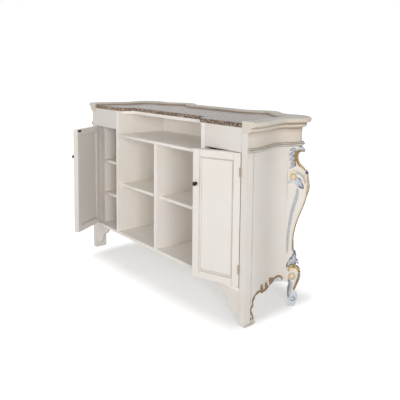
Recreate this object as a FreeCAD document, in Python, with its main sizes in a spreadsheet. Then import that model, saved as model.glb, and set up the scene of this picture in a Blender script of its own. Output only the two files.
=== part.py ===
import FreeCAD, Part
import math
import os
import re

# Home bar counter, seen from the working side: +X is the right end, -Y the bartender's side,
# +Z up. Depths are measured from the bartender's face; the origin lies on the floor,
# floor_centre behind that face. All sizes are in millimetres.

V = FreeCAD.Vector
UP = V(0, 0, 1)

SIZES = [
    ("bay_width", 430, "clear width of each open middle bay"),
    ("divider_thickness", 36, "board between the middle bays"),
    ("partition_thickness", 36, "boards between bays and cabinets"),
    ("door_opening", 294, "clear width of each side cabinet"),
    ("post_width", 45, "corner post along the length"),
    ("post_depth", 45, "corner post along the depth"),
    ("foot_depth", 84, "end panel's foot from the face"),
    ("inner_depth", 382, "face to inner back panel"),
    ("back_thickness", 8, "inner back panel"),
    ("floor_centre", 192.5, "bartender's face to the origin"),
    ("bottom_height", 185, "underside of the bottom board"),
    ("board_thickness", 20, "bottom board and shelves"),
    ("lower_shelf_height", 440, "top of the lower cabinet shelf"),
    ("middle_shelf_height", 550, "top of the shelf in a middle bay"),
    ("upper_shelf_height", 684, "top of the upper cabinet shelf"),
    ("top_shelf_height", 904, "top of the full width shelf"),
    ("middle_setback", 30, "middle shelf behind the face"),
    ("cabinet_setback", 44, "cabinet shelf behind the face"),
    ("side_thickness", 12, "lining inside the cabinet end and its return behind the post"),
    ("side_clearance", 8, "lining to the curved end panel at its waist"),
    ("pin_radius", 3, "shelf pin"),
    ("pin_length", 8, "shelf pin out of the board"),
    ("pin_inset", 40, "shelf pin from the shelf's front and back edge"),
    ("top_height", 1100, "floor to the top of the rim"),
    ("rim_raise", 12, "rim above the marble"),
    ("marble_thickness", 23, "marble slab"),
    ("deck_thickness", 20, "board under the marble"),
    ("fascia_height", 131, "board above each door"),
    ("fascia_thickness", 20, "board above each door"),
    ("recess_depth", 87, "middle of the top behind the face"),
    ("recess_run", 85, "length of each curve into that recess"),
    ("marble_overhang", 4, "marble in front of its deck"),
    ("fit_gap", 0.3, "play between curved pieces"),
    ("end_straight", 45, "flat start of each end"),
    ("waist_depth", 61, "hollow of each end"),
    ("waist_before", 70, "deepest point of the hollow before the inner back"),
    ("lobe_inset", 18, "corner lobe inside the post's outer face"),
    ("lobe_beyond", 52, "corner lobe's tip beyond the inner back"),
    ("lobe_turn", 94, "lobe's front from the post's outer face"),
    ("lobe_front", 128, "lobe's front beyond the inner back"),
    ("dip_place", 602, "dip beside the lobe from the middle"),
    ("dip_front", 118, "dip beyond the inner back"),
    ("bulge_place", 415, "bulge from the middle"),
    ("bulge_front", 210, "bulge beyond the inner back"),
    ("shoulder_place", 285, "inner foot of the bulge from the middle"),
    ("shoulder_front", 141, "shoulder beyond the inner back"),
    ("centre_front", 136, "middle beyond the inner back"),
    ("rim_width", 44, "frieze face to the marble"),
    ("marble_corner_inset", 128, "marble corner inside the post's outer face"),
    ("marble_corner_beyond", 58, "marble's corner beyond the inner back"),
    ("cornice_height", 60, "moulded edge of the top"),
    ("cornice_projection", 51, "moulded edge beyond the frieze"),
    ("frieze_height", 103, "band under the cornice"),
    ("frieze_thickness", 20, "band under the cornice"),
    ("waist_height", 22, "silvered moulding under the frieze"),
    ("waist_projection", 20, "silvered moulding beyond the frieze"),
    ("panel_inset", 3, "end and front panels inside the frieze face"),
    ("skin_thickness", 16, "end and front panels"),
    ("apron_height", 148, "lower edge of the end panel"),
    ("front_apron_height", 150, "lower edge of the front panel at its ends"),
    ("front_apron_rise", 45, "rise of that edge"),
    ("front_apron_drop", 12, "drop of its middle below the ends"),
    ("carving_width", 15, "gilded edge of the aprons"),
    ("carving_relief", 7, "gilded edge proud of the panel"),
    ("leaf_height", 38, "flame leaves of the gilded edge"),
    ("leg_back_inset", 60, "back of the leg inside the post's outer face"),
    ("leg_back_beyond", 1, "leg's back beyond the inner back"),
    ("leg_width", 56, "carved leg across its face"),
    ("leg_reach", 116, "knee of the leg beyond its back"),
    ("stile_width", 60, "corner stile behind the leg"),
    ("stile_depth", 20, "corner stile behind the leg"),
    ("boss_radius", 17, "bosses of the leg's volutes"),
    ("boss_proud", 3, "bosses beside the leg"),
    ("bracket_length", 178, "bracket beside the foot"),
    ("bracket_height", 138, "bracket beside the foot"),
    ("bracket_thickness", 20, "bracket beside the foot"),
    ("bracket_setback", 3, "bracket behind the face"),
    ("door_thickness", 36, "door frame"),
    ("door_gap", 2, "joint round each door"),
    ("frame_width", 42, "door stiles and rails"),
    ("panel_thickness", 12, "door panel"),
    ("panel_setback", 12, "door panel behind the frame"),
    ("groove_depth", 10, "groove that holds the panel"),
    ("groove_play", 0.4, "panel and tongues in the groove"),
    ("knob_height", 740, "floor to the knob"),
    ("knob_radius", 12, "knob"),
    ("knob_reach", 24, "knob in front of the door"),
    ("hinge_inset", 100, "hinge middle from the door's end"),
    ("hinge_length", 48, "butt hinge"),
    ("leaf_depth", 28, "hinge leaf into the door's edge"),
    ("leaf_thickness", 2, "hinge leaf"),
    ("knuckle_radius", 5, "hinge barrel"),
    ("hinge_pin_radius", 2, "hinge pin"),
    ("hinge_play", 0.05, "pin in the barrel"),
    ("knuckle_play", 0.3, "between knuckles, and barrel to face"),
    ("leaf_play", 0.2, "between the leaves of a closed hinge"),
    ("left_door_angle", 60, "left door open at rest"),
    ("right_door_angle", 20, "right door open at rest"),
    ("catch_length", 40, "magnetic catch"),
    ("catch_width", 13, "magnetic catch"),
    ("catch_depth", 16, "magnetic catch"),
    ("strike_thickness", 1.5, "steel plate on the door"),
]

doc = FreeCAD.newDocument("bar_counter")
sheet = doc.addObject("Spreadsheet::Sheet", "Sizes")
for row, (alias, value, note) in enumerate(SIZES, start=1):
    sheet.set("A%d" % row, alias)
    sheet.set("B%d" % row, str(value))
    sheet.set("C%d" % row, note)
    sheet.setAlias("B%d" % row, alias)
doc.recompute()
ALIASES = {alias for alias, value, note in SIZES}
nodes = []


def size(alias):
    return float(sheet.get(alias))


def formula(text):
    return re.sub(r"[a-z]\w*", lambda word: ("Sizes." if word[0] in ALIASES else "") + word[0], text)


def bind(item, corner, extent, extent_names):
    for name, text in zip(extent_names, extent):
        item.setExpression(name, formula(text))
    for axis, text in zip("xyz", corner):
        item.setExpression("Placement.Base." + axis, formula(text))
    return item


def node(item, label):
    item.Label = label
    nodes.append(item)
    return item


def mirrored(item, label):
    twin = doc.addObject("Part::Mirroring", label)
    twin.Source = item
    twin.Normal = V(1, 0, 0)
    return node(twin, label)


def feature(label, shape):
    item = doc.addObject("Part::Feature", label)
    item.Shape = shape
    item.Placement = FreeCAD.Placement(V(0, -size("floor_centre"), 0), FreeCAD.Rotation())
    return node(item, label)


def group(label, members):
    item = doc.addObject("Part::Compound", label)
    item.Links = members
    return node(item, label)


# Levels and places that several pieces share, as formulas of the sizes above.
MARBLE_BOTTOM = "(top_height - rim_raise - marble_thickness)"
DECK_BOTTOM = "(%s - deck_thickness)" % MARBLE_BOTTOM
FASCIA_BOTTOM = "(%s - fascia_height)" % MARBLE_BOTTOM
CORNICE_BOTTOM = "(top_height - cornice_height)"
FLOOR_TOP = "(bottom_height + board_thickness)"
BAY_END = "(divider_thickness / 2 + bay_width)"
CABINET_START = "(%s + partition_thickness)" % BAY_END
POST_FACE = "(%s + door_opening)" % CABINET_START
HALF_LENGTH = "(%s + post_width)" % POST_FACE
SIDE_BACK = "(%s - waist_depth - panel_inset - skin_thickness - side_clearance)" % HALF_LENGTH
SIDE_FACE = "(%s - side_thickness)" % SIDE_BACK
DOOR_BOTTOM = "(%s + door_gap)" % FLOOR_TOP
DOOR_TOP = "(%s - door_gap)" % FASCIA_BOTTOM
DOOR_HEIGHT = "(%s - %s)" % (DOOR_TOP, DOOR_BOTTOM)
DOOR_WIDTH = "(door_opening - 2 * door_gap)"
HINGE_STAND = "(knuckle_radius + knuckle_play)"

marble_bottom = size("top_height") - size("rim_raise") - size("marble_thickness")
deck_bottom = marble_bottom - size("deck_thickness")
cornice_bottom = size("top_height") - size("cornice_height")
frieze_bottom = cornice_bottom - size("frieze_height")
bay_end = size("divider_thickness") / 2 + size("bay_width")
post_face = bay_end + size("partition_thickness") + size("door_opening")
half_length = post_face + size("post_width")
inner_depth = size("inner_depth")


def board(label, corner, extent):
    x, y, z = corner
    item = doc.addObject("Part::Box", label)
    return bind(item, (x, y + " - floor_centre", z), extent, ("Length", "Width", "Height"))


def cut(label, base, tool):
    item = doc.addObject("Part::Cut", label)
    item.Base = base
    item.Tool = tool
    return item


def joined(label, first, second):
    item = doc.addObject("Part::Fuse", label)
    item.Base = first
    item.Tool = second
    item.Refine = True
    return node(item, label)


# Carcass boards: floor, partitions, divider, shelves, back and fascias.
def carcass():
    front_strip = board("floor_front", ("-" + POST_FACE, "0", "bottom_height"),
                        ("2 * " + POST_FACE, "post_depth", "board_thickness"))
    floor = board("floor_main", ("-" + SIDE_BACK, "0", "bottom_height"),
                  ("2 * " + SIDE_BACK, "inner_depth", "board_thickness"))
    joined("bottom_board", front_strip, floor)
    low_back = board("back_low", ("-" + SIDE_FACE, "inner_depth", "bottom_height"),
                     ("2 * " + SIDE_FACE, "back_thickness", CORNICE_BOTTOM + " - bottom_height"))
    high_back = board("back_high", ("-" + CABINET_START, "inner_depth", "bottom_height"),
                      ("2 * " + CABINET_START, "back_thickness", DECK_BOTTOM + " - bottom_height"))
    joined("inner_back_panel", low_back, high_back)
    node(board("centre_divider", ("-divider_thickness / 2", "0", FLOOR_TOP),
               ("divider_thickness", "inner_depth",
                "top_shelf_height - board_thickness - %s" % FLOOR_TOP)), "centre_divider")
    node(board("top_shelf", ("-" + BAY_END, "0", "top_shelf_height - board_thickness"),
               ("2 * " + BAY_END, "inner_depth", "board_thickness")), "top_shelf")

    upright = board("partition_board", (BAY_END, "0", FLOOR_TOP),
                    ("partition_thickness", "inner_depth", "%s - %s" % (MARBLE_BOTTOM, FLOOR_TOP)))
    rebate = board("partition_rebate", (BAY_END, "fascia_thickness", DECK_BOTTOM),
                   ("partition_thickness", "inner_depth", "deck_thickness"))
    partition = node(cut("right_partition", upright, rebate), "right_partition")
    mirrored(partition, "left_partition")

    shelf = node(board("right_middle_shelf", ("divider_thickness / 2", "middle_setback",
                       "middle_shelf_height - board_thickness"),
                       ("bay_width", "inner_depth - middle_setback", "board_thickness")),
                 "right_middle_shelf")
    mirrored(shelf, "left_middle_shelf")
    for level in ("lower", "upper"):
        name = "cabinet_%s_shelf" % level
        shelf = node(board("right_" + name, (CABINET_START, "cabinet_setback",
                           "%s_shelf_height - board_thickness" % level),
                           ("%s - %s" % (SIDE_FACE, CABINET_START), "inner_depth - cabinet_setback",
                            "board_thickness")), "right_" + name)
        mirrored(shelf, "left_" + name)
    lining_height = "%s - %s" % (CORNICE_BOTTOM, FLOOR_TOP)
    lining = board("side_lining", (SIDE_FACE, "post_depth", FLOOR_TOP),
                   ("side_thickness", "inner_depth - post_depth", lining_height))
    lining_return = board("side_return", (SIDE_BACK, "post_depth", FLOOR_TOP),
                          ("%s + side_thickness - %s" % (POST_FACE, SIDE_BACK), "side_thickness",
                           lining_height))
    side = joined("right_cabinet_side", lining, lining_return)
    mirrored(side, "left_cabinet_side")
    fascia = node(board("right_fascia", (CABINET_START, "0", FASCIA_BOTTOM),
                        ("door_opening", "fascia_thickness", "fascia_height")), "right_fascia")
    mirrored(fascia, "left_fascia")


# Shelf pins: four under each shelf, standing out of the uprights at its two ends.
def shelf_pins():
    pins = []
    bays = [("middle", "middle_setback", "divider_thickness / 2", BAY_END),
            ("lower", "cabinet_setback", CABINET_START, SIDE_FACE),
            ("upper", "cabinet_setback", CABINET_START, SIDE_FACE)]
    for level, setback, near_face, far_face in bays:
        starts = [near_face, far_face + " - pin_length", "-%s - pin_length" % near_face, "-" + far_face]
        for start in starts:
            for depth in (setback + " + pin_inset", "inner_depth - pin_inset"):
                pin = doc.addObject("Part::Cylinder", "shelf_pin")
                pin.Placement = FreeCAD.Placement(V(), FreeCAD.Rotation(V(0, 1, 0), 90))
                height = "%s_shelf_height - board_thickness - pin_radius" % level
                bind(pin, (start, depth + " - floor_centre", height), ("pin_radius", "pin_length"),
                     ("Radius", "Height"))
                pins.append(pin)
    group("shelf_pins", pins)


# Corner posts, mortised for the hinge leaves.
def corner_posts():
    post = board("post_shaft", (POST_FACE, "0", "0"), ("post_width", "post_depth", CORNICE_BOTTOM))
    for level in hinge_levels():
        mortise = board("post_mortise", (POST_FACE, "0", level + " - hinge_length / 2"),
                        (MORTISE, "leaf_depth", "hinge_length"))
        post = cut("post_mortised", post, mortise)
    node(post, "right_corner_post")
    mirrored(post, "left_corner_post")


MORTISE = "(leaf_thickness - door_gap / 2 + leaf_play / 2)"


def hinge_levels():
    return ("(%s + hinge_inset)" % DOOR_BOTTOM, "(%s - hinge_inset)" % DOOR_TOP)


# Plan of the frieze face as one smooth line, from the right end round to the left end.
def end_start():
    return V(half_length, size("end_straight"), 0)


def end_hollow():
    return V(half_length - size("waist_depth"), inner_depth - size("waist_before"), 0)


def lobe_tip():
    return V(half_length - size("lobe_inset"), inner_depth + size("lobe_beyond"), 0)


def front_waves(inset):
    dip = V(size("dip_place"), inner_depth + size("dip_front") - inset, 0)
    bulge = V(size("bulge_place"), inner_depth + size("bulge_front") - inset, 0)
    shoulder = V(size("shoulder_place"), inner_depth + size("shoulder_front") - inset, 0)
    middle = V(0, inner_depth + size("centre_front") - inset, 0)
    flat = V(shoulder.x / 2, middle.y, 0)
    return [dip, (dip + bulge) / 2, bulge, (bulge + shoulder) / 2, shoulder, flat, middle]


def right_keys():
    start, hollow, lobe = end_start(), end_hollow(), lobe_tip()
    turn = V(half_length - size("lobe_turn"), inner_depth + size("lobe_front"), 0)
    return [V(start.x, 0, 0), V(start.x, start.y / 2, 0), start, (start + hollow) / 2, hollow,
            (hollow + lobe) / 2, lobe, turn] + front_waves(0)


def both_halves(keys):
    return keys + [V(-key.x, key.y, 0) for key in reversed(keys[:-1])]


SPAN_SAMPLES = 5


# Points of the line at a distance outside it, between two of its keys.
def offset_points(keys, distance, first=None, last=None):
    line = Part.BSplineCurve()
    line.interpolate(Points=keys)
    begin_key = keys.index(first) if first else 0
    end_key = keys.index(last) if last else len(keys) - 1
    knots = [line.parameter(key) for key in keys[begin_key:end_key + 1]]
    places = []
    for begin, end in zip(knots, knots[1:]):
        places += [begin + (end - begin) * step / SPAN_SAMPLES for step in range(SPAN_SAMPLES)]
    places.append(knots[-1])
    return [line.value(at) + line.tangent(at)[0].cross(UP).normalize() * distance for at in places]


def line_through(points, height):
    curve = Part.BSplineCurve()
    curve.interpolate(Points=[V(point.x, point.y, height) for point in points])
    return curve.toShape()


def ring(outer, inner, height):
    outside = line_through(outer, height)
    inside = line_through(list(reversed(inner)), height)
    raised = V(0, 0, height)
    far_end = Part.LineSegment(outer[-1] + raised, inner[-1] + raised).toShape()
    near_end = Part.LineSegment(inner[0] + raised, outer[0] + raised).toShape()
    return Part.Wire([outside, far_end, inside, near_end])


def moulding(keys, profile, inner, first=None, last=None):
    wires = [ring(offset_points(keys, distance, first, last), inner, height) for distance, height in profile]
    return Part.makeLoft(wires, True, True)


# Room that a corner post takes up, and all in front of its back.
def post_room():
    depth = size("post_depth")
    return Part.makeBox(2 * half_length, 2 * depth, 2 * size("top_height"), V(0, -depth, 0))


# A band in three lengths that meet at the two corner lobes.
def three_lengths(name, keys, profile, inside, first):
    right_lobe = lobe_tip()
    left_lobe = V(-right_lobe.x, right_lobe.y, 0)
    inner = offset_points(keys, inside, first, right_lobe)
    length = moulding(keys, profile, inner, first, right_lobe)
    if first == end_start():
        length = length.cut(post_room())
    right = feature("right_" + name, length)
    mirrored(right, "left_" + name)
    inner = offset_points(keys, inside, right_lobe, left_lobe)
    feature("front_" + name, moulding(keys, profile, inner, right_lobe, left_lobe))


def marble_points(gap):
    inset = size("rim_width") + gap
    start = end_start() - V(inset, 0, 0)
    hollow = end_hollow() - V(inset, 0, 0)
    corner = V(half_length - size("marble_corner_inset") - gap,
               inner_depth + size("marble_corner_beyond") - gap, 0)
    keys = [V(start.x, 0, 0), V(start.x, start.y / 2, 0), start, (start + hollow) / 2, hollow, corner]
    return offset_points(both_halves(keys + front_waves(inset)), 0)


# Outline of slab and deck: the curved line closed by a working edge with its middle recess.
def slab(points, recess, height, thickness):
    run = size("recess_run")
    stops = [points[-1], V(-bay_end, 0, 0), V(run - bay_end, recess, 0), V(bay_end - run, recess, 0),
             V(bay_end, 0, 0), points[0]]
    stops = [stop + UP * height for stop in stops]
    edges = [line_through(points, height)]
    for start, end in zip(stops, stops[1:]):
        middle = (start.x + end.x) / 2
        curve = Part.BezierCurve()
        curve.setPoles([start, V(middle, start.y, height), V(middle, end.y, height), end])
        edges.append(curve.toShape())
    return Part.Face(Part.Wire(edges)).extrude(UP * thickness)


# Frieze, silvered waist moulding, cornice frame, marble, deck and the web that ties them.
def top_pieces():
    keys = both_halves(right_keys())
    frieze_thickness = size("frieze_thickness")
    waist = size("waist_projection")
    nose = size("cornice_projection")
    gap = size("fit_gap")

    level = [(0, frieze_bottom), (0, cornice_bottom)]
    three_lengths("frieze", keys, level, -frieze_thickness, end_start())

    course = [(0.55, 0), (0.75, 0.2), (1, 0.4), (1, 0.68), (0.45, 0.84), (0.25, 1)]
    profile = [(out * waist, frieze_bottom + up * size("waist_height")) for out, up in course]
    three_lengths("waist_moulding", keys, profile, gap, keys[0])

    course = [(0, 0), (0.30, 0.06), (0.43, 0.14), (0.53, 0.28), (0.50, 0.40), (0.56, 0.47),
              (0.76, 0.53), (0.93, 0.60), (1, 0.77), (0.93, 0.93), (0.74, 1)]
    profile = [(out * nose, cornice_bottom + up * size("cornice_height")) for out, up in course]
    feature("top_frame", moulding(keys, profile, marble_points(0)))

    outline = marble_points(gap)
    recess = size("recess_depth")
    feature("marble_top", slab(outline, recess, marble_bottom, size("marble_thickness")))
    deck = slab(outline, recess + size("marble_overhang"), deck_bottom, size("deck_thickness"))
    fascia_room = Part.makeBox(4 * half_length, 2 * size("fascia_thickness"), size("top_height"))
    fascia_room.translate(V(-2 * half_length, -size("fascia_thickness"), 0))
    feature("deck", deck.cut(fascia_room))

    back = inner_depth + size("back_thickness")
    line = [point for point in offset_points(keys, -frieze_thickness - gap) if point.y > back]
    straight = Part.LineSegment(line[-1] + UP * frieze_bottom, line[0] + UP * frieze_bottom).toShape()
    web = Part.Face(Part.Wire([line_through(line, frieze_bottom), straight]))
    feature("front_web", web.extrude(UP * size("board_thickness")))


# The leg stands on the diagonal of the corner; its own frame has r outwards and z up.
OUTWARD = V(math.sqrt(0.5), math.sqrt(0.5), 0)
ACROSS = V(math.sqrt(0.5), -math.sqrt(0.5), 0)


def leg_back():
    return V(half_length - size("leg_back_inset"), inner_depth + size("leg_back_beyond"), 0)


def stile_solid():
    half = ACROSS * (size("stile_width") / 2)
    inwards = OUTWARD * -size("stile_depth")
    back = leg_back() + UP * size("apron_height")
    corners = [back + half, back - half, back - half + inwards, back + half + inwards, back + half]
    return Part.Face(Part.makePolygon(corners)).extrude(UP * (frieze_bottom - size("apron_height")))


def skin(outer, inner):
    return Part.Face(ring(outer, inner, 0)).extrude(UP * frieze_bottom)


# Space outside a corner stile, which ends the panel that runs into it.
def beyond_stile(direction):
    reach = 2 * half_length
    half = size("stile_width") / 2
    start = leg_back() + ACROSS * (half * direction)
    side = ACROSS * (-direction * reach)
    corners = [start + OUTWARD * reach, start - OUTWARD * reach, start - OUTWARD * reach + side,
               start + OUTWARD * reach + side]
    face = Part.Face(Part.makePolygon(corners + corners[:1]))
    return face.extrude(UP * (2 * size("top_height")))


def spline(points):
    curve = Part.BSplineCurve()
    curve.interpolate(Points=points)
    return curve.toShape()


# Lower edge of the end panel, over depth and height: up the carved back of its foot, then along
# the apron to the corner stile. Depths are shares of the foot and of the way on from it.
def apron_keys():
    low = size("apron_height")
    foot = size("foot_depth")
    way = leg_back().y - foot
    back_of_foot = [(1.0, 0), (0.85, 0.16), (0.82, 0.28), (0.71, 0.43), (0.63, 0.58), (0.78, 0.71),
                    (0.80, 0.86), (0.94, 1.0)]
    along = [(0.064, 1.07), (0.16, 1.08), (0.23, 0.99), (0.32, 0.955), (0.47, 0.975), (0.58, 1.0),
             (0.67, 1.04), (0.76, 1.045), (0.86, 1.015), (0.915, 1.0)]
    course = [(share * foot, up) for share, up in back_of_foot]
    course += [(foot + share * way, up) for share, up in along]
    return [V(0, depth, up * low) for depth, up in course]


# All below that edge, or below it moved into the panel by a width.
def apron_void(width):
    keys = [key + V(0, -0.6 * width, width) for key in apron_keys()]
    far = 2 * leg_back().y
    ground = -width - 1
    corners = [keys[-1], V(0, far, keys[-1].z), V(0, far, ground), V(0, keys[0].y, ground), keys[0]]
    edges = [spline(keys)]
    for start, end in zip(corners, corners[1:]):
        edges.append(Part.LineSegment(start, end).toShape())
    return Part.Face(Part.Wire(edges)).extrude(V(2 * half_length, 0, 0))


def leaf(depth, base, lean):
    tall = size("leaf_height")
    wide = size("carving_width")
    tip = V(0, depth - lean, base + tall)
    left = V(0, depth - wide / 2, base - wide / 2)
    right = V(0, depth + wide / 2, base - wide / 2)
    arcs = [Part.Arc(left, V(0, depth - wide / 2 - lean / 3, base + tall / 2), tip).toShape(),
            Part.Arc(tip, V(0, depth + wide / 3, base + tall / 3), right).toShape(),
            Part.LineSegment(right, left).toShape()]
    return Part.Face(Part.Wire(arcs)).extrude(V(2 * half_length, 0, 0))


def end_skin(outside, inside):
    keys = both_halves(right_keys())
    outer = offset_points(keys, outside, end_start(), lobe_tip())
    inner = offset_points(keys, inside, end_start(), lobe_tip())
    return skin(outer, inner).cut(beyond_stile(1)).cut(post_room()).cut(apron_void(0))


# Inside the skin the panel's foot is as thick as the post is wide, up to the bottom board.
def thick_foot(middle):
    keys = both_halves(right_keys())
    wide = size("post_width")
    back = size("post_depth")
    outside = skin(offset_points(keys, wide, end_start(), lobe_tip()),
                   offset_points(keys, middle, end_start(), lobe_tip()))
    block = Part.makeBox(wide, size("foot_depth") - back, size("bottom_height"), V(post_face, back, 0))
    return block.cut(outside).cut(apron_void(0))


def ends():
    inset = -size("panel_inset")
    thick = size("skin_thickness")
    panel = end_skin(inset, inset - thick).fuse(thick_foot(inset - thick / 2))
    right = feature("right_end_panel", panel.removeSplitter())
    mirrored(right, "left_end_panel")

    relief = end_skin(inset + size("carving_relief"), inset + size("fit_gap"))
    band = relief.common(apron_void(size("carving_width")))
    foot = size("foot_depth")
    span = leg_back().y - foot
    for share in (0.22, 0.41, 0.60):
        flame = leaf(foot + share * span, 1.04 * size("apron_height"), size("leaf_height") / 8)
        band = band.fuse(relief.common(flame))
    right = feature("right_end_carving", band.removeSplitter())
    mirrored(right, "left_end_carving")

    right = feature("right_leg_stile", stile_solid())
    mirrored(right, "left_leg_stile")


# The customer's front: a serpentine skin between the corner stiles, with a shaped lower edge.
def front_keys():
    start = leg_back() - ACROSS * (size("stile_width") * 0.42)
    waves = front_waves(size("panel_inset"))
    return both_halves([start, (start + waves[0]) / 2] + waves)


def front_void(lift):
    low = size("front_apron_height")
    rise = size("front_apron_rise")
    drop = size("front_apron_drop")
    reach = half_length - size("leg_back_inset")
    half = [V(reach, 0, low), V(size("dip_place"), 0, low + rise), V(size("bulge_place"), 0, low),
            V(size("shoulder_place"), 0, low + rise), V(size("shoulder_place") / 2, 0, low + rise / 3),
            V(0, 0, low - drop)]
    keys = half + [V(-key.x, 0, key.z) for key in reversed(half[:-1])]
    keys = [key + UP * lift for key in keys]
    ground = -lift - 1
    corners = [keys[-1], V(keys[-1].x, 0, ground), V(keys[0].x, 0, ground), keys[0]]
    edges = [spline(keys)]
    for start, end in zip(corners, corners[1:]):
        edges.append(Part.LineSegment(start, end).toShape())
    return Part.Face(Part.Wire(edges)).extrude(V(0, 4 * inner_depth, 0))


def front_skin(outside, inside):
    keys = front_keys()
    outer = offset_points(keys, outside)
    inner = offset_points(keys, inside)
    solid = skin(outer, inner)
    right = beyond_stile(-1)
    left = right.mirror(V(), V(1, 0, 0))
    return solid.cut(right).cut(left)


def front():
    panel = front_skin(0, -size("skin_thickness")).cut(front_void(0))
    feature("front_panel", panel)
    relief = front_skin(size("carving_relief"), size("fit_gap")).cut(front_void(0))
    feature("front_carving", relief.common(front_void(size("carving_width"))))


# The carved leg: horizontal sections from foot to top scroll, each as (height, reach, width)
# in shares of the leg's height, knee and width, with its volutes' bosses across it. Below the
# apron it draws away from the corner's back line, as (reach, height) in shares of knee and apron.
LEG_SECTIONS = [(0.0, 0.46, 0.66), (0.035, 0.58, 0.80), (0.062, 0.64, 0.80), (0.083, 0.57, 0.72),
                (0.100, 0.48, 0.62), (0.15, 0.64, 0.70), (0.195, 0.75, 0.86), (0.235, 0.70, 0.86),
                (0.265, 0.46, 0.72), (0.305, 0.49, 0.66), (0.345, 0.40, 0.58), (0.41, 0.37, 0.58),
                (0.48, 0.43, 0.62), (0.547, 0.57, 0.70), (0.61, 0.75, 0.80), (0.67, 0.91, 0.92),
                (0.715, 1.0, 1.0), (0.75, 1.04, 1.0), (0.80, 1.02, 1.0), (0.84, 0.98, 1.0),
                (0.86, 0.84, 0.94), (0.885, 0.64, 0.86), (0.92, 0.50, 0.78), (0.955, 0.54, 0.78),
                (0.978, 0.76, 0.82), (1.0, 0.62, 0.78)]
LEG_BOSSES = [(0.817, 0.26, 1.0), (0.194, 0.33, 0.88), (0.055, 0.40, 0.78)]
LEG_HOLLOW = [(0, 1.0), (0.12, 0.95), (0.22, 0.85), (0.19, 0.70), (0.165, 0.55), (0.17, 0.32),
              (0.21, 0.13), (0.24, 0)]


def leg_point(reach, across, height):
    return leg_back() + OUTWARD * reach + ACROSS * across + UP * height


def leg_section(height, reach, half):
    flank = [(0, 1.0), (0.45, 1.0), (0.82, 0.78), (1.0, 0.0), (0.82, -0.78), (0.45, -1.0), (0, -1.0)]
    points = [leg_point(reach * out, half * side, height) for out, side in flank]
    return Part.Wire([spline(points), Part.LineSegment(points[-1], points[0]).toShape()])


def leg_hollow():
    knee = size("leg_reach")
    low = size("apron_height")
    wide = size("leg_width")
    behind = -size("stile_depth")
    keys = [leg_point(out * knee, -wide, up * low) for out, up in LEG_HOLLOW]
    corners = [keys[-1], leg_point(LEG_HOLLOW[-1][0] * knee, -wide, behind),
               leg_point(behind, -wide, behind), leg_point(behind, -wide, low), keys[0]]
    edges = [spline(keys)]
    for start, end in zip(corners, corners[1:]):
        edges.append(Part.LineSegment(start, end).toShape())
    return Part.Face(Part.Wire(edges)).extrude(ACROSS * (2 * wide))


def legs():
    tall = frieze_bottom - size("fit_gap")
    knee = size("leg_reach")
    half = size("leg_width") / 2
    wires = [leg_section(share * tall, out * knee, wide * half) for share, out, wide in LEG_SECTIONS]
    leg = Part.makeLoft(wires, True, False)
    for share, out, wide in LEG_BOSSES:
        reach = wide * half + size("boss_proud")
        start = leg_point(out * knee, -reach, share * tall)
        leg = leg.fuse(Part.makeCylinder(size("boss_radius"), 2 * reach, start, ACROSS))
    right = feature("right_front_leg", leg.cut(leg_hollow()))
    mirrored(right, "left_front_leg")


# Brackets beside the bartender's feet: an ogee in two sweeps under the bottom board.
def bracket_feet():
    long = size("bracket_length")
    tall = size("bracket_height")
    height = size("bottom_height")
    front_face = size("bracket_setback")

    def at(out, down):
        return V(post_face - out * long, front_face, height - down * tall)

    upper = spline([at(1.0, 0), at(0.92, 0.105), at(0.84, 0.235), at(0.68, 0.36), at(0.545, 0.48)])
    lower = spline([at(0.545, 0.48), at(0.455, 0.70), at(0.35, 0.905), at(0.2, 0.955), at(0, 1.0)])
    side = Part.LineSegment(at(0, 1.0), at(0, 0)).toShape()
    top = Part.LineSegment(at(0, 0), at(1.0, 0)).toShape()
    face = Part.Face(Part.Wire([upper, lower, side, top]))
    right = feature("right_bracket_foot", face.extrude(V(0, size("bracket_thickness"), 0)))
    mirrored(right, "left_bracket_foot")


# Doors. A door's own frame has its hinge axis at the origin, the leaf along x (s on the left
# door, -s on the right one), y inwards from the axis and z from the floor.
def on_door(body, side):
    turn = size("right_door_angle") if side == "right" else -size("left_door_angle")
    axis_x = post_face - size("door_gap") / 2
    stand = size("knuckle_radius") + size("knuckle_play")
    place = V(axis_x if side == "right" else -axis_x, -stand - size("floor_centre"), 0)
    body.Placement = FreeCAD.Placement(place, FreeCAD.Rotation(UP, turn))
    return body


def door_body(side, label):
    return doc.addObject("PartDesign::Body", "%s_%s" % (side, label))


def door_block(body, side, kind, corner, extent):
    along, depth, height = corner
    start = along if side == "left" else "-(%s) - (%s)" % (along, extent[0])
    item = body.newObject("PartDesign::%sBox" % kind, "block")
    bind(item, (start, "%s + %s" % (depth, HINGE_STAND), height), extent, ("Length", "Width", "Height"))
    return item


def door_rod(body, side, kind, place, turn, extent, names):
    along, depth, height = place
    item = body.newObject("PartDesign::" + kind, "rod")
    item.Placement = FreeCAD.Placement(V(), turn)
    start = along if side == "left" else "-(%s)" % along
    bind(item, (start, "%s + %s" % (depth, HINGE_STAND), height), extent, names)
    return item


EDGE = "door_gap / 2"
FREE_EDGE = "(door_gap / 2 + %s)" % DOOR_WIDTH
GROOVE = "(panel_thickness + groove_play)"
GROOVE_FRONT = "(panel_setback - groove_play / 2)"


def stile(side, label, start, groove_start, hinged):
    body = door_body(side, label)
    door_block(body, side, "Additive", (start, "0", DOOR_BOTTOM),
               ("frame_width", "door_thickness", DOOR_HEIGHT))
    door_block(body, side, "Subtractive", (groove_start, GROOVE_FRONT, DOOR_BOTTOM),
               ("groove_depth", GROOVE, DOOR_HEIGHT))
    if hinged:
        for level in hinge_levels():
            door_block(body, side, "Subtractive", (start, "0", level + " - hinge_length / 2"),
                       (MORTISE, "leaf_depth", "hinge_length"))
    node(on_door(body, side), "%s_%s" % (side, label))


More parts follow.
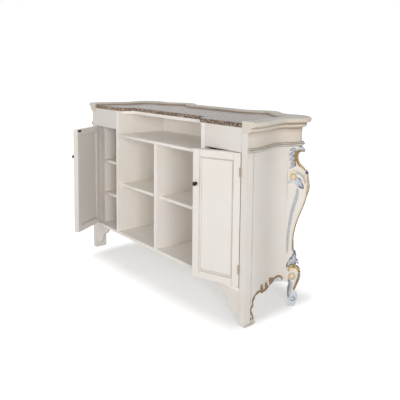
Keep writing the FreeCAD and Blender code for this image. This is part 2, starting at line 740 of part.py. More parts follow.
def rail(side, label, low, groove_low):
    inner = "(%s - 2 * frame_width)" % DOOR_WIDTH
    tongue = "(groove_depth - groove_play)"
    body = door_body(side, label)
    door_block(body, side, "Additive", (EDGE + " + frame_width", "0", low),
               (inner, "door_thickness", "frame_width"))
    door_block(body, side, "Additive", ("%s + frame_width - %s" % (EDGE, tongue), "panel_setback", low),
               ("%s + 2 * %s" % (inner, tongue), "panel_thickness", "frame_width"))
    groove_start = "%s + frame_width - groove_depth" % EDGE
    door_block(body, side, "Subtractive", (groove_start, GROOVE_FRONT, groove_low),
               (inner + " + 2 * groove_depth", GROOVE, "groove_depth"))
    node(on_door(body, side), "%s_%s" % (side, label))


def door(side):
    low_rail_top = DOOR_BOTTOM + " + frame_width"
    high_rail_low = DOOR_TOP + " - frame_width"
    stile(side, "door_hinge_stile", EDGE, EDGE + " + frame_width - groove_depth", True)
    stile(side, "door_free_stile", FREE_EDGE + " - frame_width", FREE_EDGE + " - frame_width", False)
    rail(side, "door_bottom_rail", DOOR_BOTTOM, low_rail_top + " - groove_depth")
    rail(side, "door_top_rail", high_rail_low, high_rail_low)

    body = door_body(side, "door_panel")
    rim = "(frame_width - groove_depth + groove_play)"
    corner = ("%s + %s" % (EDGE, rim), "panel_setback", "%s + %s" % (DOOR_BOTTOM, rim))
    door_block(body, side, "Additive", corner,
               ("%s - 2 * %s" % (DOOR_WIDTH, rim), "panel_thickness", "%s - 2 * %s" % (DOOR_HEIGHT, rim)))
    node(on_door(body, side), side + "_door_panel")

    body = door_body(side, "door_knob")
    outwards = FreeCAD.Rotation(V(1, 0, 0), 90)
    middle = FREE_EDGE + " - frame_width / 2"
    door_rod(body, side, "AdditiveCylinder", (middle, "0", "knob_height"), outwards,
             ("knob_radius * 0.75", "knob_reach / 8"), ("Radius", "Height"))
    door_rod(body, side, "AdditiveCylinder", (middle, "0", "knob_height"), outwards,
             ("knob_radius * 0.42", "knob_reach * 0.7"), ("Radius", "Height"))
    door_rod(body, side, "AdditiveEllipsoid", (middle, "-knob_reach * 0.7", "knob_height"), outwards,
             ("knob_reach * 0.3", "knob_radius", "knob_radius"), ("Radius1", "Radius2", "Radius3"))
    node(on_door(body, side), side + "_door_knob")

    body = door_body(side, "door_strike")
    corner = (FREE_EDGE + " - catch_length", "door_thickness", DOOR_TOP + " - catch_width - door_gap")
    door_block(body, side, "Additive", corner,
               ("catch_length - door_gap", "strike_thickness", "catch_width"))
    node(on_door(body, side), side + "_door_strike")


# Butt hinges: each leaf lies in its mortise; the post's leaf has the outer two knuckles.
def hinge_leaf(side, level, on_post):
    turning = doc.addObject("PartDesign::Body", "hinge_leaf")
    third = "(hinge_length / 3)"
    low = level + " - hinge_length / 2"
    near = "leaf_play / 2" if not on_post else "-leaf_play / 2 - leaf_thickness"
    door_block(turning, side, "Additive", (near, "0", low), ("leaf_thickness", "leaf_depth", "hinge_length"))
    spans = [(low, third), (low + " + 2 * " + third, third)] if on_post else [(low + " + " + third, third)]
    upright = FreeCAD.Rotation()
    for start, tall in spans:
        begin = start + " + knuckle_play / 2"
        length = tall + " - knuckle_play"
        door_rod(turning, side, "AdditiveCylinder", ("0", "-" + HINGE_STAND, begin), upright,
                 ("knuckle_radius", length), ("Radius", "Height"))
        door_block(turning, side, "Additive", (near, "-" + HINGE_STAND, begin),
                   ("leaf_thickness", HINGE_STAND, length))
    door_rod(turning, side, "SubtractiveCylinder", ("0", "-" + HINGE_STAND, low), upright,
             ("hinge_pin_radius + hinge_play", "hinge_length"), ("Radius", "Height"))
    on_door(turning, side)
    if on_post:
        turning.Placement = FreeCAD.Placement(turning.Placement.Base, FreeCAD.Rotation())
    return turning


def hinges():
    post_leaves = []
    pins = []
    for side in ("left", "right"):
        group(side + "_hinge_door_leaves", [hinge_leaf(side, level, False) for level in hinge_levels()])
        post_leaves += [hinge_leaf(side, level, True) for level in hinge_levels()]
        for level in hinge_levels():
            pin = doc.addObject("PartDesign::Body", "hinge_pin")
            door_rod(pin, side, "AdditiveCylinder", ("0", "-" + HINGE_STAND, level + " - hinge_length / 2"),
                     FreeCAD.Rotation(), ("hinge_pin_radius", "hinge_length"), ("Radius", "Height"))
            pins.append(on_door(pin, side))
    group("hinge_post_leaves", post_leaves)
    group("hinge_pins", pins)


# Magnetic catches on the cabinet side of each partition, behind the closed door.
def catches():
    blocks = []
    for side in ("right", "left"):
        start = CABINET_START if side == "right" else "-%s - catch_length" % CABINET_START
        front_face = "door_thickness + strike_thickness + fit_gap"
        blocks.append(board("catch", (start, front_face, DOOR_TOP + " - catch_width - door_gap"),
                            ("catch_length", "catch_depth", "catch_width")))
    group("magnetic_catches", blocks)


carcass()
shelf_pins()
corner_posts()
bracket_feet()
top_pieces()
ends()
front()
legs()
for door_side in ("left", "right"):
    door(door_side)
hinges()
catches()
doc.recompute()

for item in doc.Objects:
    if "Invalid" in item.State or "Error" in item.State:
        raise RuntimeError("%s failed: %s" % (item.Label, item.State))
for item in nodes:
    if item.Shape.isNull() or not item.Shape.isValid() or not item.Shape.Solids:
        raise RuntimeError("%s has no valid solid" % item.Label)

os.makedirs("parts", exist_ok=True)
for item in nodes:
    item.Shape.exportStep("parts/%s.step" % item.Label)
    print("%-28s %d solid(s)  %.0f mm3" % (item.Label, len(item.Shape.Solids), item.Shape.Volume))
print(len(nodes), "nodes")
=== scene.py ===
import bpy
import bmesh
import math
import numpy as np
from mathutils import Matrix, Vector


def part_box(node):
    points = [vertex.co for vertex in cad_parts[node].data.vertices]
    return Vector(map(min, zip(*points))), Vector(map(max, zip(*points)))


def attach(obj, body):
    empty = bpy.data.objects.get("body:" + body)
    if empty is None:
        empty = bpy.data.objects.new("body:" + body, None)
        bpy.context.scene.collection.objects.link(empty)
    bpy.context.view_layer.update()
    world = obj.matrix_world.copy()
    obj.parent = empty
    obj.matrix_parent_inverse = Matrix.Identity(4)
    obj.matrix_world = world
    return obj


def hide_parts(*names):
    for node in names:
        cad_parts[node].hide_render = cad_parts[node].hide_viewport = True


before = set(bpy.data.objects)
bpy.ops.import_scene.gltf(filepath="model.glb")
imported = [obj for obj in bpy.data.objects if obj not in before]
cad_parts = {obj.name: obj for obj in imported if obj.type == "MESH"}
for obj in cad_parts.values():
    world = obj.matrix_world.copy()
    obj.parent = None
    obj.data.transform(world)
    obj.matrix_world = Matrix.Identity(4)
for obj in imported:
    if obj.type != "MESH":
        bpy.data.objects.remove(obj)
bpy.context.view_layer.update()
print("frame loaded")

# Sizes are in millimetres: x along the counter, y from the bartender's face, z up.
counter = {"originDepth": 192.5, "postFace": 778.0, "apronLevel": 148.0, "friezeBottom": 937.0}
sides = (("right", 1), ("left", -1))   # each side with the sign of its x


# Millimetres of the counter to metres of the frame
def toMetres(points):
    out = np.array(points, float)
    out[..., 1] -= counter["originDepth"]
    return out * 0.001


# sRGB hex to linear colour
def linear(hexColour):
    parts = np.array([int(hexColour[i:i + 2], 16) for i in (1, 3, 5)]) / 255
    parts = np.where(parts <= 0.04045, parts / 12.92, ((parts + 0.055) / 1.055) ** 2.4)
    return (*parts.tolist(), 1.0)


# Sets a node's inputs: each value is a plain value or an output to link.
def setSockets(tree, node, sockets):
    for key, value in sockets.items():
        if isinstance(value, bpy.types.NodeSocket):
            tree.links.new(value, node.inputs[key])
        else:
            node.inputs[key].default_value = value


# Adds one node: settings are its properties, sockets its inputs.
def addNode(tree, kind, sockets=None, **settings):
    node = tree.nodes.new("ShaderNode" + kind)
    for key, value in settings.items():
        setattr(node, key, value)
    setSockets(tree, node, sockets or {})
    return node


# A new material with its tree, its shader and its Object coordinates
def newMaterial(name):
    material = bpy.data.materials.new(name)
    material.use_nodes = True
    tree = material.node_tree
    return material, tree, tree.nodes["Principled BSDF"], addNode(tree, "TexCoord").outputs["Object"]


# Satin ivory lacquer brushed over wood: faint streaks along the board, brown glaze wiped into edges and
# quirks (positive values), which under the rim's nose, on the rim's inner face and at the frieze's top is
# painted shade; a grey painted reflection on the flat of the rim (negative values).
# The inside cream is paler than the outside cream as painted light, brightening the dim interior.
lacquer = {"cream": "#e4dfd9", "creamCloud": "#e3dcd3", "mellow": "#ddd4c8", "mellowCloud": "#d9cdbe",
           "inside": "#f5f0ea", "insideCloud": "#f2ebe2", "streak": "#dfd7cc", "glazeAndPaintedLight": "#8a6f55",
           "paintedReflection": "#b3b0a3", "streakWidth": 4.0, "streakLength": 220.0, "cloudSize": 240.0,
           "smoothest": 0.31, "roughest": 0.46}


def ivoryLacquer(name, along, cream):   # cream is the key of its colour
    material, tree, shader, place = newMaterial(name)
    scale = [1000 / lacquer["streakLength" if axis == along else "streakWidth"] for axis in "xyz"]
    brushed = addNode(tree, "Mapping", {"Vector": place, "Scale": scale}).outputs[0]
    streak = addNode(tree, "TexNoise", {"Vector": brushed, "Scale": 1.0, "Detail": 3.0}).outputs[0]
    noise = {"Vector": place, "Scale": 1000 / lacquer["cloudSize"], "Detail": 2.0}
    cloud = addNode(tree, "TexNoise", noise).outputs[0]
    mark = addNode(tree, "Attribute", attribute_name="glazeAndPaintedLight").outputs["Fac"]
    patch = addNode(tree, "MapRange", {"Value": cloud, "From Min": 0.4, "From Max": 0.7})
    depth = addNode(tree, "MapRange", {"Value": streak, "From Min": 0.4, "From Max": 0.8, "To Max": 0.22})
    # Negative marks give the grey painted reflection; positive marks give the brown glaze and painted shade.
    paintedReflectionShare = addNode(tree, "MapRange", {"Value": mark, "From Max": -1.0, "To Max": 0.85})
    wiped = addNode(tree, "MapRange", {"Value": cloud, "From Min": 0.3, "From Max": 0.62, "To Min": 0.4})
    glazeAndShadeShare = addNode(tree, "Math", {0: mark, 1: wiped.outputs[0]}, operation="MULTIPLY", use_clamp=True)
    colour = linear(lacquer[cream])
    layers = {cream + "Cloud": patch, "streak": depth, "paintedReflection": paintedReflectionShare, "glazeAndPaintedLight": glazeAndShadeShare}
    for key, share in layers.items():   # each over the ones before it
        sockets = {6: colour, 7: linear(lacquer[key]), 0: share.outputs[0]}
        colour = addNode(tree, "Mix", sockets, data_type="RGBA").outputs[2]
    satin = {"Value": streak, "To Min": lacquer["smoothest"], "To Max": lacquer["roughest"]}
    rough = addNode(tree, "MapRange", satin)
    bump = addNode(tree, "Bump", {"Height": streak, "Strength": 0.05, "Distance": 0.0003})
    setSockets(tree, shader, {"Base Color": colour, "Roughness": rough.outputs[0], "Normal": bump.outputs[0]})
    return material


# Metal leaf over carved wood: bright where it is rubbed, its ground between, dark glaze in the hollows.
def leafFinish(name, bright, ground, dark, metallic, roughness, rubSize):
    material, tree, shader, place = newMaterial(name)
    noise = {"Vector": place, "Scale": 1000 / rubSize, "Detail": 6.0, "Roughness": 0.65}
    rub = addNode(tree, "TexNoise", noise).outputs[0]
    worn = addNode(tree, "MapRange", {"Value": rub, "From Min": 0.36, "From Max": 0.64}).outputs[0]
    hollow = addNode(tree, "Attribute", attribute_name="glazeAndPaintedLight").outputs["Fac"]
    leafed = addNode(tree, "Mix", {6: linear(ground), 7: linear(bright), 0: worn}, data_type="RGBA")
    colour = addNode(tree, "Mix", {6: leafed.outputs[2], 7: linear(dark), 0: hollow}, data_type="RGBA")
    rough = addNode(tree, "MapRange", {"Value": rub, "To Min": roughness + 0.12, "To Max": roughness - 0.1})
    bump = addNode(tree, "Bump", {"Height": rub, "Strength": 0.1, "Distance": 0.0005})
    setSockets(tree, shader, {"Base Color": colour.outputs[2], "Roughness": rough.outputs[0],
                              "Normal": bump.outputs[0], "Metallic": metallic})
    return material


# Polished brown marble: brown clouds over a dark ground, paler and black grains a few millimetres across.
marble = {"dark": "#6d5a50", "brown": "#9d8673", "pale": "#d0c3b3", "black": "#493c34", "cloudSize": 30.0,
          "grainSize": 5.0, "roughness": 0.15, "mirror": 0.02}


def polishedMarble(name):
    material, tree, shader, place = newMaterial(name)
    noise = {"Vector": place, "Scale": 1000 / marble["cloudSize"], "Detail": 5.0, "Distortion": 0.7}
    cloud = addNode(tree, "TexNoise", noise)
    cell = addNode(tree, "TexVoronoi", {"Vector": place, "Scale": 1000 / marble["grainSize"]})
    grain = addNode(tree, "SeparateColor", {0: cell.outputs["Color"]})
    # Layers as (pattern, where it starts, where it is full, how much it covers), each over the ones before it
    layers = {"brown": (cloud.outputs[0], 0.4, 0.62, 1.0), "pale": (grain.outputs[0], 0.72, 0.95, 0.85),
              "black": (grain.outputs[1], 0.75, 0.92, 0.85)}
    colour = linear(marble["dark"])
    for key, (pattern, start, full, most) in layers.items():
        reach = {"Value": pattern, "From Min": start, "From Max": full, "To Max": most}
        share = addNode(tree, "MapRange", reach).outputs[0]
        sockets = {6: colour, 7: linear(marble[key]), 0: share}
        colour = addNode(tree, "Mix", sockets, data_type="RGBA").outputs[2]
    setSockets(tree, shader, {"Base Color": colour, "Roughness": marble["roughness"],
                              "Specular IOR Level": marble["mirror"]})
    return material


# Small metal and plastic ware: one colour broken by fine handling marks.
def smallWare(name, light, dark, metallic, roughness, markSize):
    material, tree, shader, place = newMaterial(name)
    marks = addNode(tree, "TexNoise", {"Vector": place, "Scale": 1000 / markSize, "Detail": 4.0}).outputs[0]
    colour = addNode(tree, "Mix", {6: linear(light), 7: linear(dark), 0: marks}, data_type="RGBA")
    handled = {"Value": marks, "To Min": roughness - 0.08, "To Max": roughness + 0.08}
    rough = addNode(tree, "MapRange", handled)
    setSockets(tree, shader, {"Base Color": colour.outputs[2], "Roughness": rough.outputs[0],
                              "Metallic": metallic})
    return material


finish = {
    "upright": ivoryLacquer("ivory lacquer, upright grain", "z", "cream"),
    "level": ivoryLacquer("ivory lacquer, level grain", "x", "cream"),
    "deep": ivoryLacquer("mellow ivory lacquer, grain along the end", "y", "mellow"),
    # Interior boards take the paler inside cream: painted light for the dim interior.
    "paintedLightUpright": ivoryLacquer("ivory lacquer lightened as painted light, upright grain", "z", "inside"),
    "paintedLightLevel": ivoryLacquer("ivory lacquer lightened as painted light, level grain", "x", "inside"),
    "silver": leafFinish("silver leaf on wood", "#d8d4cb", "#c2bdb2", "#857d71", 0.20, 0.42, 40.0),
    "paleSilver": leafFinish("silvered carving", "#e9ebef", "#c0c5ce", "#4b5365", 0.22, 0.40, 9.0),
    # The blue-grey silver is partly painted shade: raised strips coloured as the shade of a sunk channel.
    "blueSilverPaintedShade": leafFinish("silvered hollow with painted groove shade", "#c6c7ca", "#b0b1b6", "#74777f", 0.15, 0.42, 14.0),
    "ruffle": leafFinish("silvered ruffle", "#e4e6eb", "#b9bdc8", "#4f566a", 0.20, 0.40, 12.0),
    "gilt": leafFinish("bronze gilt carving", "#d6c093", "#ad8f60", "#5f4a30", 0.20, 0.42, 14.0),
    "brownGilt": leafFinish("dark bronze gilt carving", "#b0946a", "#83694a", "#463625", 0.20, 0.45, 12.0),
    "paleGilt": leafFinish("pale gilt carving", "#f0e5cc", "#e2d0ab", "#a98d60", 0.10, 0.45, 14.0),
    "boss": leafFinish("gilt boss", "#ead9ba", "#dec7a0", "#a0835a", 0.12, 0.45, 12.0),
    # Slate is painted shade: a dark ground under the pale leaves that outlines them, and dark marks in the
    # scrolls.
    "slatePaintedShade": leafFinish("slate painted shade under the leaf", "#8b909d", "#666d7e", "#3b4252", 0.08, 0.50, 12.0),
    "marble": polishedMarble("polished brown marble"),
    "bronze": smallWare("dark bronze", "#4a3f36", "#2a231e", 0.8, 0.38, 6.0),
    "brass": smallWare("aged brass", "#c6b8a2", "#a99a82", 0.35, 0.45, 8.0),
    "nickel": smallWare("nickel plated steel", "#b9b9b6", "#8e8e8b", 0.95, 0.30, 6.0),
    "plastic": smallWare("brown moulded plastic", "#3a2a20", "#2c1f17", 0.0, 0.5, 4.0),
    "plainBoard": smallWare("plain board", "#b9a588", "#a08b6c", 0.0, 0.6, 30.0),
}
print("materials made")


# Rows, such as points or faces, from the arrays of their columns
def rowsOf(*columns):
    return np.stack(np.broadcast_arrays(*columns), -1)


# The coordinates of points, one array each
def columnsOf(points):
    return np.moveaxis(np.asarray(points, float), -1, 0)


# The two coordinates of points round a centre
def around(centre, radius, turn):
    return centre[0] + radius * np.cos(turn), centre[1] + radius * np.sin(turn)


circle = np.radians(np.arange(0, 360, 15))   # angles of small rings


# The points of a plan, each at its height
def raised(plan, height):
    return rowsOf(plan[..., 0], plan[..., 1], height)


# The values of several columns at places along a line
def readAlong(places, line, *columns):
    return (np.interp(places, line, column) for column in columns)


# The faces of a grid of points, row by row
def gridFaces(rows, cols, wrapRows=False, wrapCols=False):
    r = np.arange(rows if wrapRows else rows - 1)
    c = np.arange(cols if wrapCols else cols - 1)
    r, c = np.meshgrid(r, c, indexing="ij")
    nextR, nextC = (r + 1) % rows, (c + 1) % cols
    return rowsOf(r * cols + c, r * cols + nextC, nextR * cols + nextC, nextR * cols + c).reshape(-1, 4)


# A part is (points, blocks, glaze and painted light): each block is an array with the point numbers of one
# face in each row.
# A tube of rings closed by a cap at each end
def tube(rings, glazeAndPaintedLight):
    rows, cols = rings.shape[:2]
    caps = np.arange(cols) + np.array([[0], [(rows - 1) * cols]])
    return rings, [gridFaces(rows, cols, wrapCols=True), caps], np.broadcast_to(glazeAndPaintedLight, (rows, cols))


# A shell: one grid outside, a second of the same size behind it, and the walls between their edges.
def shell(outer, inner, glazeAndPaintedLight, glazeAndPaintedLightBehind):
    rows, cols = outer.shape[:2]
    faces = gridFaces(rows, cols)
    edge = np.concatenate([np.arange(cols), np.arange(1, rows) * cols + cols - 1,
                           (rows - 1) * cols + np.arange(cols - 2, -1, -1),
                           np.arange(rows - 2, 0, -1) * cols])
    ahead, shift = np.roll(edge, -1), rows * cols
    walls = rowsOf(edge, ahead, ahead + shift, edge + shift)
    points = np.concatenate([outer.reshape(-1, 3), inner.reshape(-1, 3)])
    marks = [np.broadcast_to(each, (rows, cols)).ravel() for each in (glazeAndPaintedLight, glazeAndPaintedLightBehind)]
    return points, [np.concatenate([faces, faces[:, ::-1] + shift, walls])], np.concatenate(marks)


# Joins several parts into one.
def joinParts(parts):
    points, blocks, glazeAndPaintedLight, start = [], [], [], 0
    for part in parts:
        flat = np.asarray(part[0]).reshape(-1, 3)
        points.append(flat)
        blocks += [block + start for block in part[1]]
        glazeAndPaintedLight.append(np.ravel(part[2]))
        start += len(flat)
    return np.concatenate(points), blocks, np.concatenate(glazeAndPaintedLight)


# A part with its points put in place by a function
def placed(part, surface, *settings):
    return surface(part[0], *settings), part[1], part[2]


# Puts a part into the scene on its body. Glaze and painted light go to the corners of its faces;
# caps stay plain.
def addPiece(name, part, colour, nodes=(), body="carcass", sharp=40.0, weld=False):
    points, blocks, glazeAndPaintedLight = part
    points = np.asarray(points, float).reshape(-1, 3)
    mesh = bpy.data.meshes.new(name)
    mesh.from_pydata(toMetres(points).tolist(), [], [face for block in blocks for face in block.tolist()])
    layer = mesh.attributes.new("pointGlazeAndPaintedLight", "FLOAT", "POINT")
    layer.data.foreach_set("value", np.broadcast_to(np.ravel(glazeAndPaintedLight), len(points)).astype(np.float32))
    work = bmesh.new()
    work.from_mesh(mesh)
    if weld:
        bmesh.ops.remove_doubles(work, verts=work.verts, dist=1e-5)
    bmesh.ops.recalc_face_normals(work, faces=work.faces)
    work.to_mesh(mesh)
    work.free()
    onPoints = np.empty(len(mesh.vertices), np.float32)
    corner = np.empty(len(mesh.loops), np.int32)
    count = np.empty(len(mesh.polygons), np.int32)
    mesh.attributes["pointGlazeAndPaintedLight"].data.foreach_get("value", onPoints)
    mesh.loops.foreach_get("vertex_index", corner)
    mesh.polygons.foreach_get("loop_total", count)
    onCorners = np.where(np.repeat(count > 4, count), 0, onPoints[corner]).astype(np.float32)
    mesh.attributes.remove(mesh.attributes["pointGlazeAndPaintedLight"])
    mesh.attributes.new("glazeAndPaintedLight", "FLOAT", "CORNER").data.foreach_set("value", onCorners)
    mesh.polygons.foreach_set("use_smooth", np.ones(len(mesh.polygons), bool))
    mesh.set_sharp_from_angle(angle=math.radians(sharp))
    mesh.materials.append(finish[colour])
    piece = bpy.data.objects.new(name, mesh)
    bpy.context.scene.collection.objects.link(piece)
    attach(piece, body)
    if nodes:
        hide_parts(*nodes)


# Carved pieces, smooth over all but their sharpest folds
def addCarving(name, part, colour, nodes=()):
    addPiece(name, part, colour, nodes, sharp=60)


# The direction a quarter turn to the left of each direction
def leftOf(way):
    return rowsOf(-way[:, 1], way[:, 0])


# A closed outline that moves inwards along the mean of its two neighbouring sides' normals
def outlineAt(outline):
    ahead = np.roll(outline, -1, 0) - outline
    ahead /= np.linalg.norm(ahead, axis=1)[:, None]
    behind = np.roll(ahead, 1, 0)
    normal = leftOf(ahead + behind) / (1 + np.sum(ahead * behind, 1)[:, None])
    return lambda distance: outline + normal * distance


# A rectangle with rounded corners whose radius shrinks as the outline moves in
def rectangleAt(low, high, radius):
    def ringAt(distance):
        bend = max(radius - distance, 0.05)
        start, end = low + distance + bend, high - distance - bend
        turn = np.radians([180, 225, 270, 270, 315, 360, 0, 45, 90, 90, 135, 180])
        across = np.repeat([start[0], end[0], end[0], start[0]], 3)
        along = np.repeat([start[1], start[1], end[1], end[1]], 3)
        return rowsOf(*around((across, along), bend, turn))
    return ringAt


# A slab between two levels with quarter round edges, glazed on the rounds and plain a band beside them;
# ringAt gives its outline at a distance inside.
def easedSlab(ringAt, low, high, ease, band, glazeAndPaintedLight):
    turn = np.radians([0, 30, 60, 90])
    inset, rise = ease * (1 - np.sin(turn)), ease * (1 - np.cos(turn))
    levels = [(band + ease, low, 0.0)] + [(i, low + r, glazeAndPaintedLight) for i, r in zip(inset, rise)]
    if high - low > 2 * (ease + band):
        levels += [(0, low + ease + band, 0.0), (0, high - ease - band, 0.0)]
    levels += [(i, high - r, glazeAndPaintedLight) for i, r in zip(inset[::-1], rise[::-1])] + [(band + ease, high, 0.0)]
    outlines = np.stack([ringAt(distance) for distance, _, _ in levels])
    height, marks = np.array(levels).T[1:, :, None]
    return tube(raised(outlines, height), marks)


# A board between two corners, thin along its smallest side
boardEase = {"ease": 1.4, "band": 2.5, "glazeAndPaintedLight": 0.22}


def easedBoard(low, high):
    low, high = np.array(low, float), np.array(high, float)
    thin = int(np.argmin(high - low))
    across = [axis for axis in range(3) if axis != thin]
    ringAt = rectangleAt(low[across], high[across], boardEase["ease"])
    points, blocks, glazeAndPaintedLight = easedSlab(ringAt, low[thin], high[thin], **boardEase)
    return points[..., np.argsort([*across, thin])], blocks, glazeAndPaintedLight


# The corners of a CAD node's box in millimetres of the counter
def nodeBox(node):
    low, high = (np.array(corner) * 1000 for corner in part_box(node))
    return low + [0, counter["originDepth"], 0], high + [0, counter["originDepth"], 0]


# Carcass boards with the run of their grain
boardGrain = {"left_fascia": "level", "right_fascia": "level", "left_corner_post": "upright",
              "right_corner_post": "upright", "centre_divider": "paintedLightUpright", "top_shelf": "paintedLightLevel"}
for level in ("middle", "cabinet_upper", "cabinet_lower"):
    boardGrain |= {"left_%s_shelf" % level: "paintedLightLevel", "right_%s_shelf" % level: "paintedLightLevel"}
for node, grain in boardGrain.items():
    addPiece("eased_" + node, easedBoard(*nodeBox(node)), grain, [node])

# Partitions: a front strip stands up to the slab, the rest stops under the deck.
notch = {"depth": 20.0, "height": 20.0}
for node in ("left_partition", "right_partition"):
    (left, near, low), (right, far, high) = nodeBox(node)
    stepY, stepZ = near + notch["depth"], high - notch["height"]
    outline = np.array([(near, low), (far, low), (far, stepZ), (stepY, stepZ), (stepY, high), (near, high)])
    part = easedSlab(outlineAt(outline), left, right, **boardEase)
    addPiece("eased_" + node, placed(part, lambda points: points[..., [2, 0, 1]]), "paintedLightUpright", [node])
print("boards made")


# A smooth line through keys, a natural cubic spline by chord length, and its directions
def splineThrough(keys, perSpan):
    keys = np.asarray(keys, float)
    step = np.linalg.norm(np.diff(keys, axis=0), axis=1)
    rise = np.diff(keys, axis=0) / step[:, None]
    count = len(keys)
    matrix, right = np.zeros((count, count)), np.zeros_like(keys)
    matrix[0, :2], matrix[-1, -2:] = (2, 1), (1, 2)
    right[0], right[-1] = 3 * rise[0], 3 * rise[-1]
    inner = np.arange(1, count - 1)
    matrix[inner, inner - 1], matrix[inner, inner + 1] = step[1:], step[:-1]
    matrix[inner, inner] = 2 * (step[1:] + step[:-1])
    right[inner] = 3 * (step[1:, None] * rise[:-1] + step[:-1, None] * rise[1:])
    slope = np.linalg.solve(matrix, right)
    at = np.arange((count - 1) * perSpan + 1) / perSpan
    span = np.minimum(at.astype(int), count - 2)
    t, h = (at - span)[:, None], step[span][:, None]
    points = ((1 + 2 * t) * (1 - t) ** 2 * keys[span] + t * (1 - t) ** 2 * h * slope[span]
              + t ** 2 * (3 - 2 * t) * keys[span + 1] - t ** 2 * (1 - t) * h * slope[span + 1])
    tangent = np.gradient(points, axis=0)
    return points, tangent / np.linalg.norm(tangent, axis=1)[:, None]


# The smooth line alone
def smoothPath(keys, perSpan=8):
    return splineThrough(keys, perSpan)[0]


# Keys from one end to the middle, carried on by their mirror image
def bothHalves(keys):
    keys = np.asarray(keys, float)
    return np.concatenate([keys, (keys[:-1] * [-1, 1])[::-1]])


# Plan of the frieze face from the right end round to the left end: straight, hollow, corner lobe, waves.
planKeys = [(823, 0), (823, 22.5), (823, 45), (792.5, 178.5), (762, 312), (783.5, 373), (805, 434),
            (729, 510), (602, 500), (508.5, 546), (415, 592), (350, 557.5), (285, 523), (142.5, 518),
            (0, 518)]
planSpan = 12
planLine, planTangent = splineThrough(bothHalves(planKeys), planSpan)
planNormal = -leftOf(planTangent)
lobePlace, planEnd = 6 * planSpan, len(planLine) - 1

# The slab's line beside the rim, and the place on it beside each key of the frieze's line
slabKeys = [(779, 0), (779, 22.5), (779, 45), (748.5, 178.5), (718, 312), (695, 440), (602, 456),
            (508.5, 502), (415, 548), (350, 513.5), (285, 479), (142.5, 474), (0, 474)]
slabLine, slabTangent = splineThrough(bothHalves(slabKeys), planSpan)
slabBeside = [0, 1, 2, 3, 4, 4.4, 5, 5.5, 6, 7, 8, 9, 10, 11, 12]
slabBeside += [24 - place for place in slabBeside[-2::-1]]
beside = np.interp(np.arange(len(planLine)) / planSpan, np.arange(len(slabBeside)), slabBeside) * planSpan
rimInside = rowsOf(*readAlong(beside, np.arange(len(slabLine)), *slabLine.T))


# Part of an ellipse between two angles
def arc(centre, radii, start, end, count):
    turn = np.radians(np.linspace(start, end, count))
    return centre + radii * rowsOf(np.cos(turn), np.sin(turn))


# A stretch of a profile with the glaze and painted light at each of its points
def withGlazeAndPaintedLight(line, glazeAndPaintedLight):
    return np.column_stack([line, glazeAndPaintedLight])


# A profile of (distance outside the line, height, glaze) carried along part of the plan line
def carryProfile(profile, first, last):
    plan = planLine[first:last + 1, None] + planNormal[first:last + 1, None] * profile[None, :, 0, None]
    return raised(plan, profile[:, 1])


# Moulded rim: flared underside, bead, quirk and full round nose, then the flat in to the slab, the last as
# (share of the way in, height, glaze and painted light). Brown glaze on the underside, the nose's lower half
# and the inner face by the slab is partly painted shade; the grey on the nose's top and on the flat is a
# painted reflection.
flare = withGlazeAndPaintedLight([(0, 1040), (7, 1041.2), (14, 1043.6), (20, 1047)], [0.8, 0.3, 0.1, 0.4])
bead = withGlazeAndPaintedLight(arc((21.0, 1056.0), (6.0, 8.0), -80, 75, 9), [0.5, 0.1, 0, 0, 0, 0, 0, 0.3, 0.9])
quirk = withGlazeAndPaintedLight([(24.0, 1066.0), (27.0, 1068.6), (32.0, 1070.6)], [0.7, 0.5, 0.4])
nose = withGlazeAndPaintedLight(arc((37.0, 1086.0), (14.0, 14.0), -90, 90, 15),
                 [0.8, 0.45, 0.3, 0.2, 0.15, 0.1] + [0.05] * 6 + [-0.2, -0.6, -1])
rimFlat = np.array([(0.3, 1100, -1), (0.65, 1100, -1), (0.93, 1100, -1), (0.985, 1098.9, -0.5),
                    (1, 1096, 0.1), (1, 1088, 0.7), (1, 1040, 0)])
profile = np.concatenate([flare, bead, quirk, nose])
outside = carryProfile(profile, 0, planEnd)
share = rimFlat[None, :, :1]
flat = outside[:, -1:, :2] * (1 - share) + rimInside[:, None] * share
rings = np.concatenate([outside, raised(flat, rimFlat[:, 1])], 1)
rim = tube(rings, np.concatenate([profile[:, 2], rimFlat[:, 2]]))
addPiece("moulded_rim", rim, "deep", ["top_frame"])

# Frieze in three lengths; the end ones lie a hair proud over the posts' sides and stop a step short.
lengths = {"right": (0, lobePlace), "front": (lobePlace, planEnd - lobePlace),
           "left": (planEnd - lobePlace, planEnd)}
# Brown glaze at the frieze's top, right under the rim, is painted shade; low down it marks the quirk over the
# waist.
friezeProfile = np.array([(0.3, 958, 0.7), (0.3, 963, 0.0), (0.3, 1012, 0.0), (0.3, 1032, 0.35),
                          (0.3, 1039.9, 0.9), (-20, 1039.9, 0), (-20, 937, 0), (0.3, 937, 0)])
for side, (first, last) in lengths.items():
    band = tube(carryProfile(friezeProfile, max(first, 1), min(last, planEnd - 1)), friezeProfile[:, 2])
    addPiece(side + "_frieze_band", band, "deep", [side + "_frieze"])

# Silvered waist moulding: two reeds with a quirk between them.
reedLow = withGlazeAndPaintedLight(arc((9.0, 945.5), (11.0, 6.2), -80, 80, 9), [0.8, 0.3, 0, 0, 0, 0, 0, 0.3, 1])
reedHigh = withGlazeAndPaintedLight(arc((7.0, 955.0), (8.0, 3.8), -75, 85, 8), [1, 0.3, 0, 0, 0, 0, 0.1, 0.5])
waistProfile = np.concatenate([[(0.5, 937, 0.8), (9, 937.2, 0.8), (10, 939, 0.7)], reedLow, reedHigh,
                               [(3.0, 959, 0.6), (0.5, 959, 0.8)]])
for side, (first, last) in lengths.items():
    band = tube(carryProfile(waistProfile, first, last), waistProfile[:, 2])
    addPiece(side + "_reeded_waist", band, "silver", [side + "_waist_moulding"])
print("rim, frieze and waist moulding made")

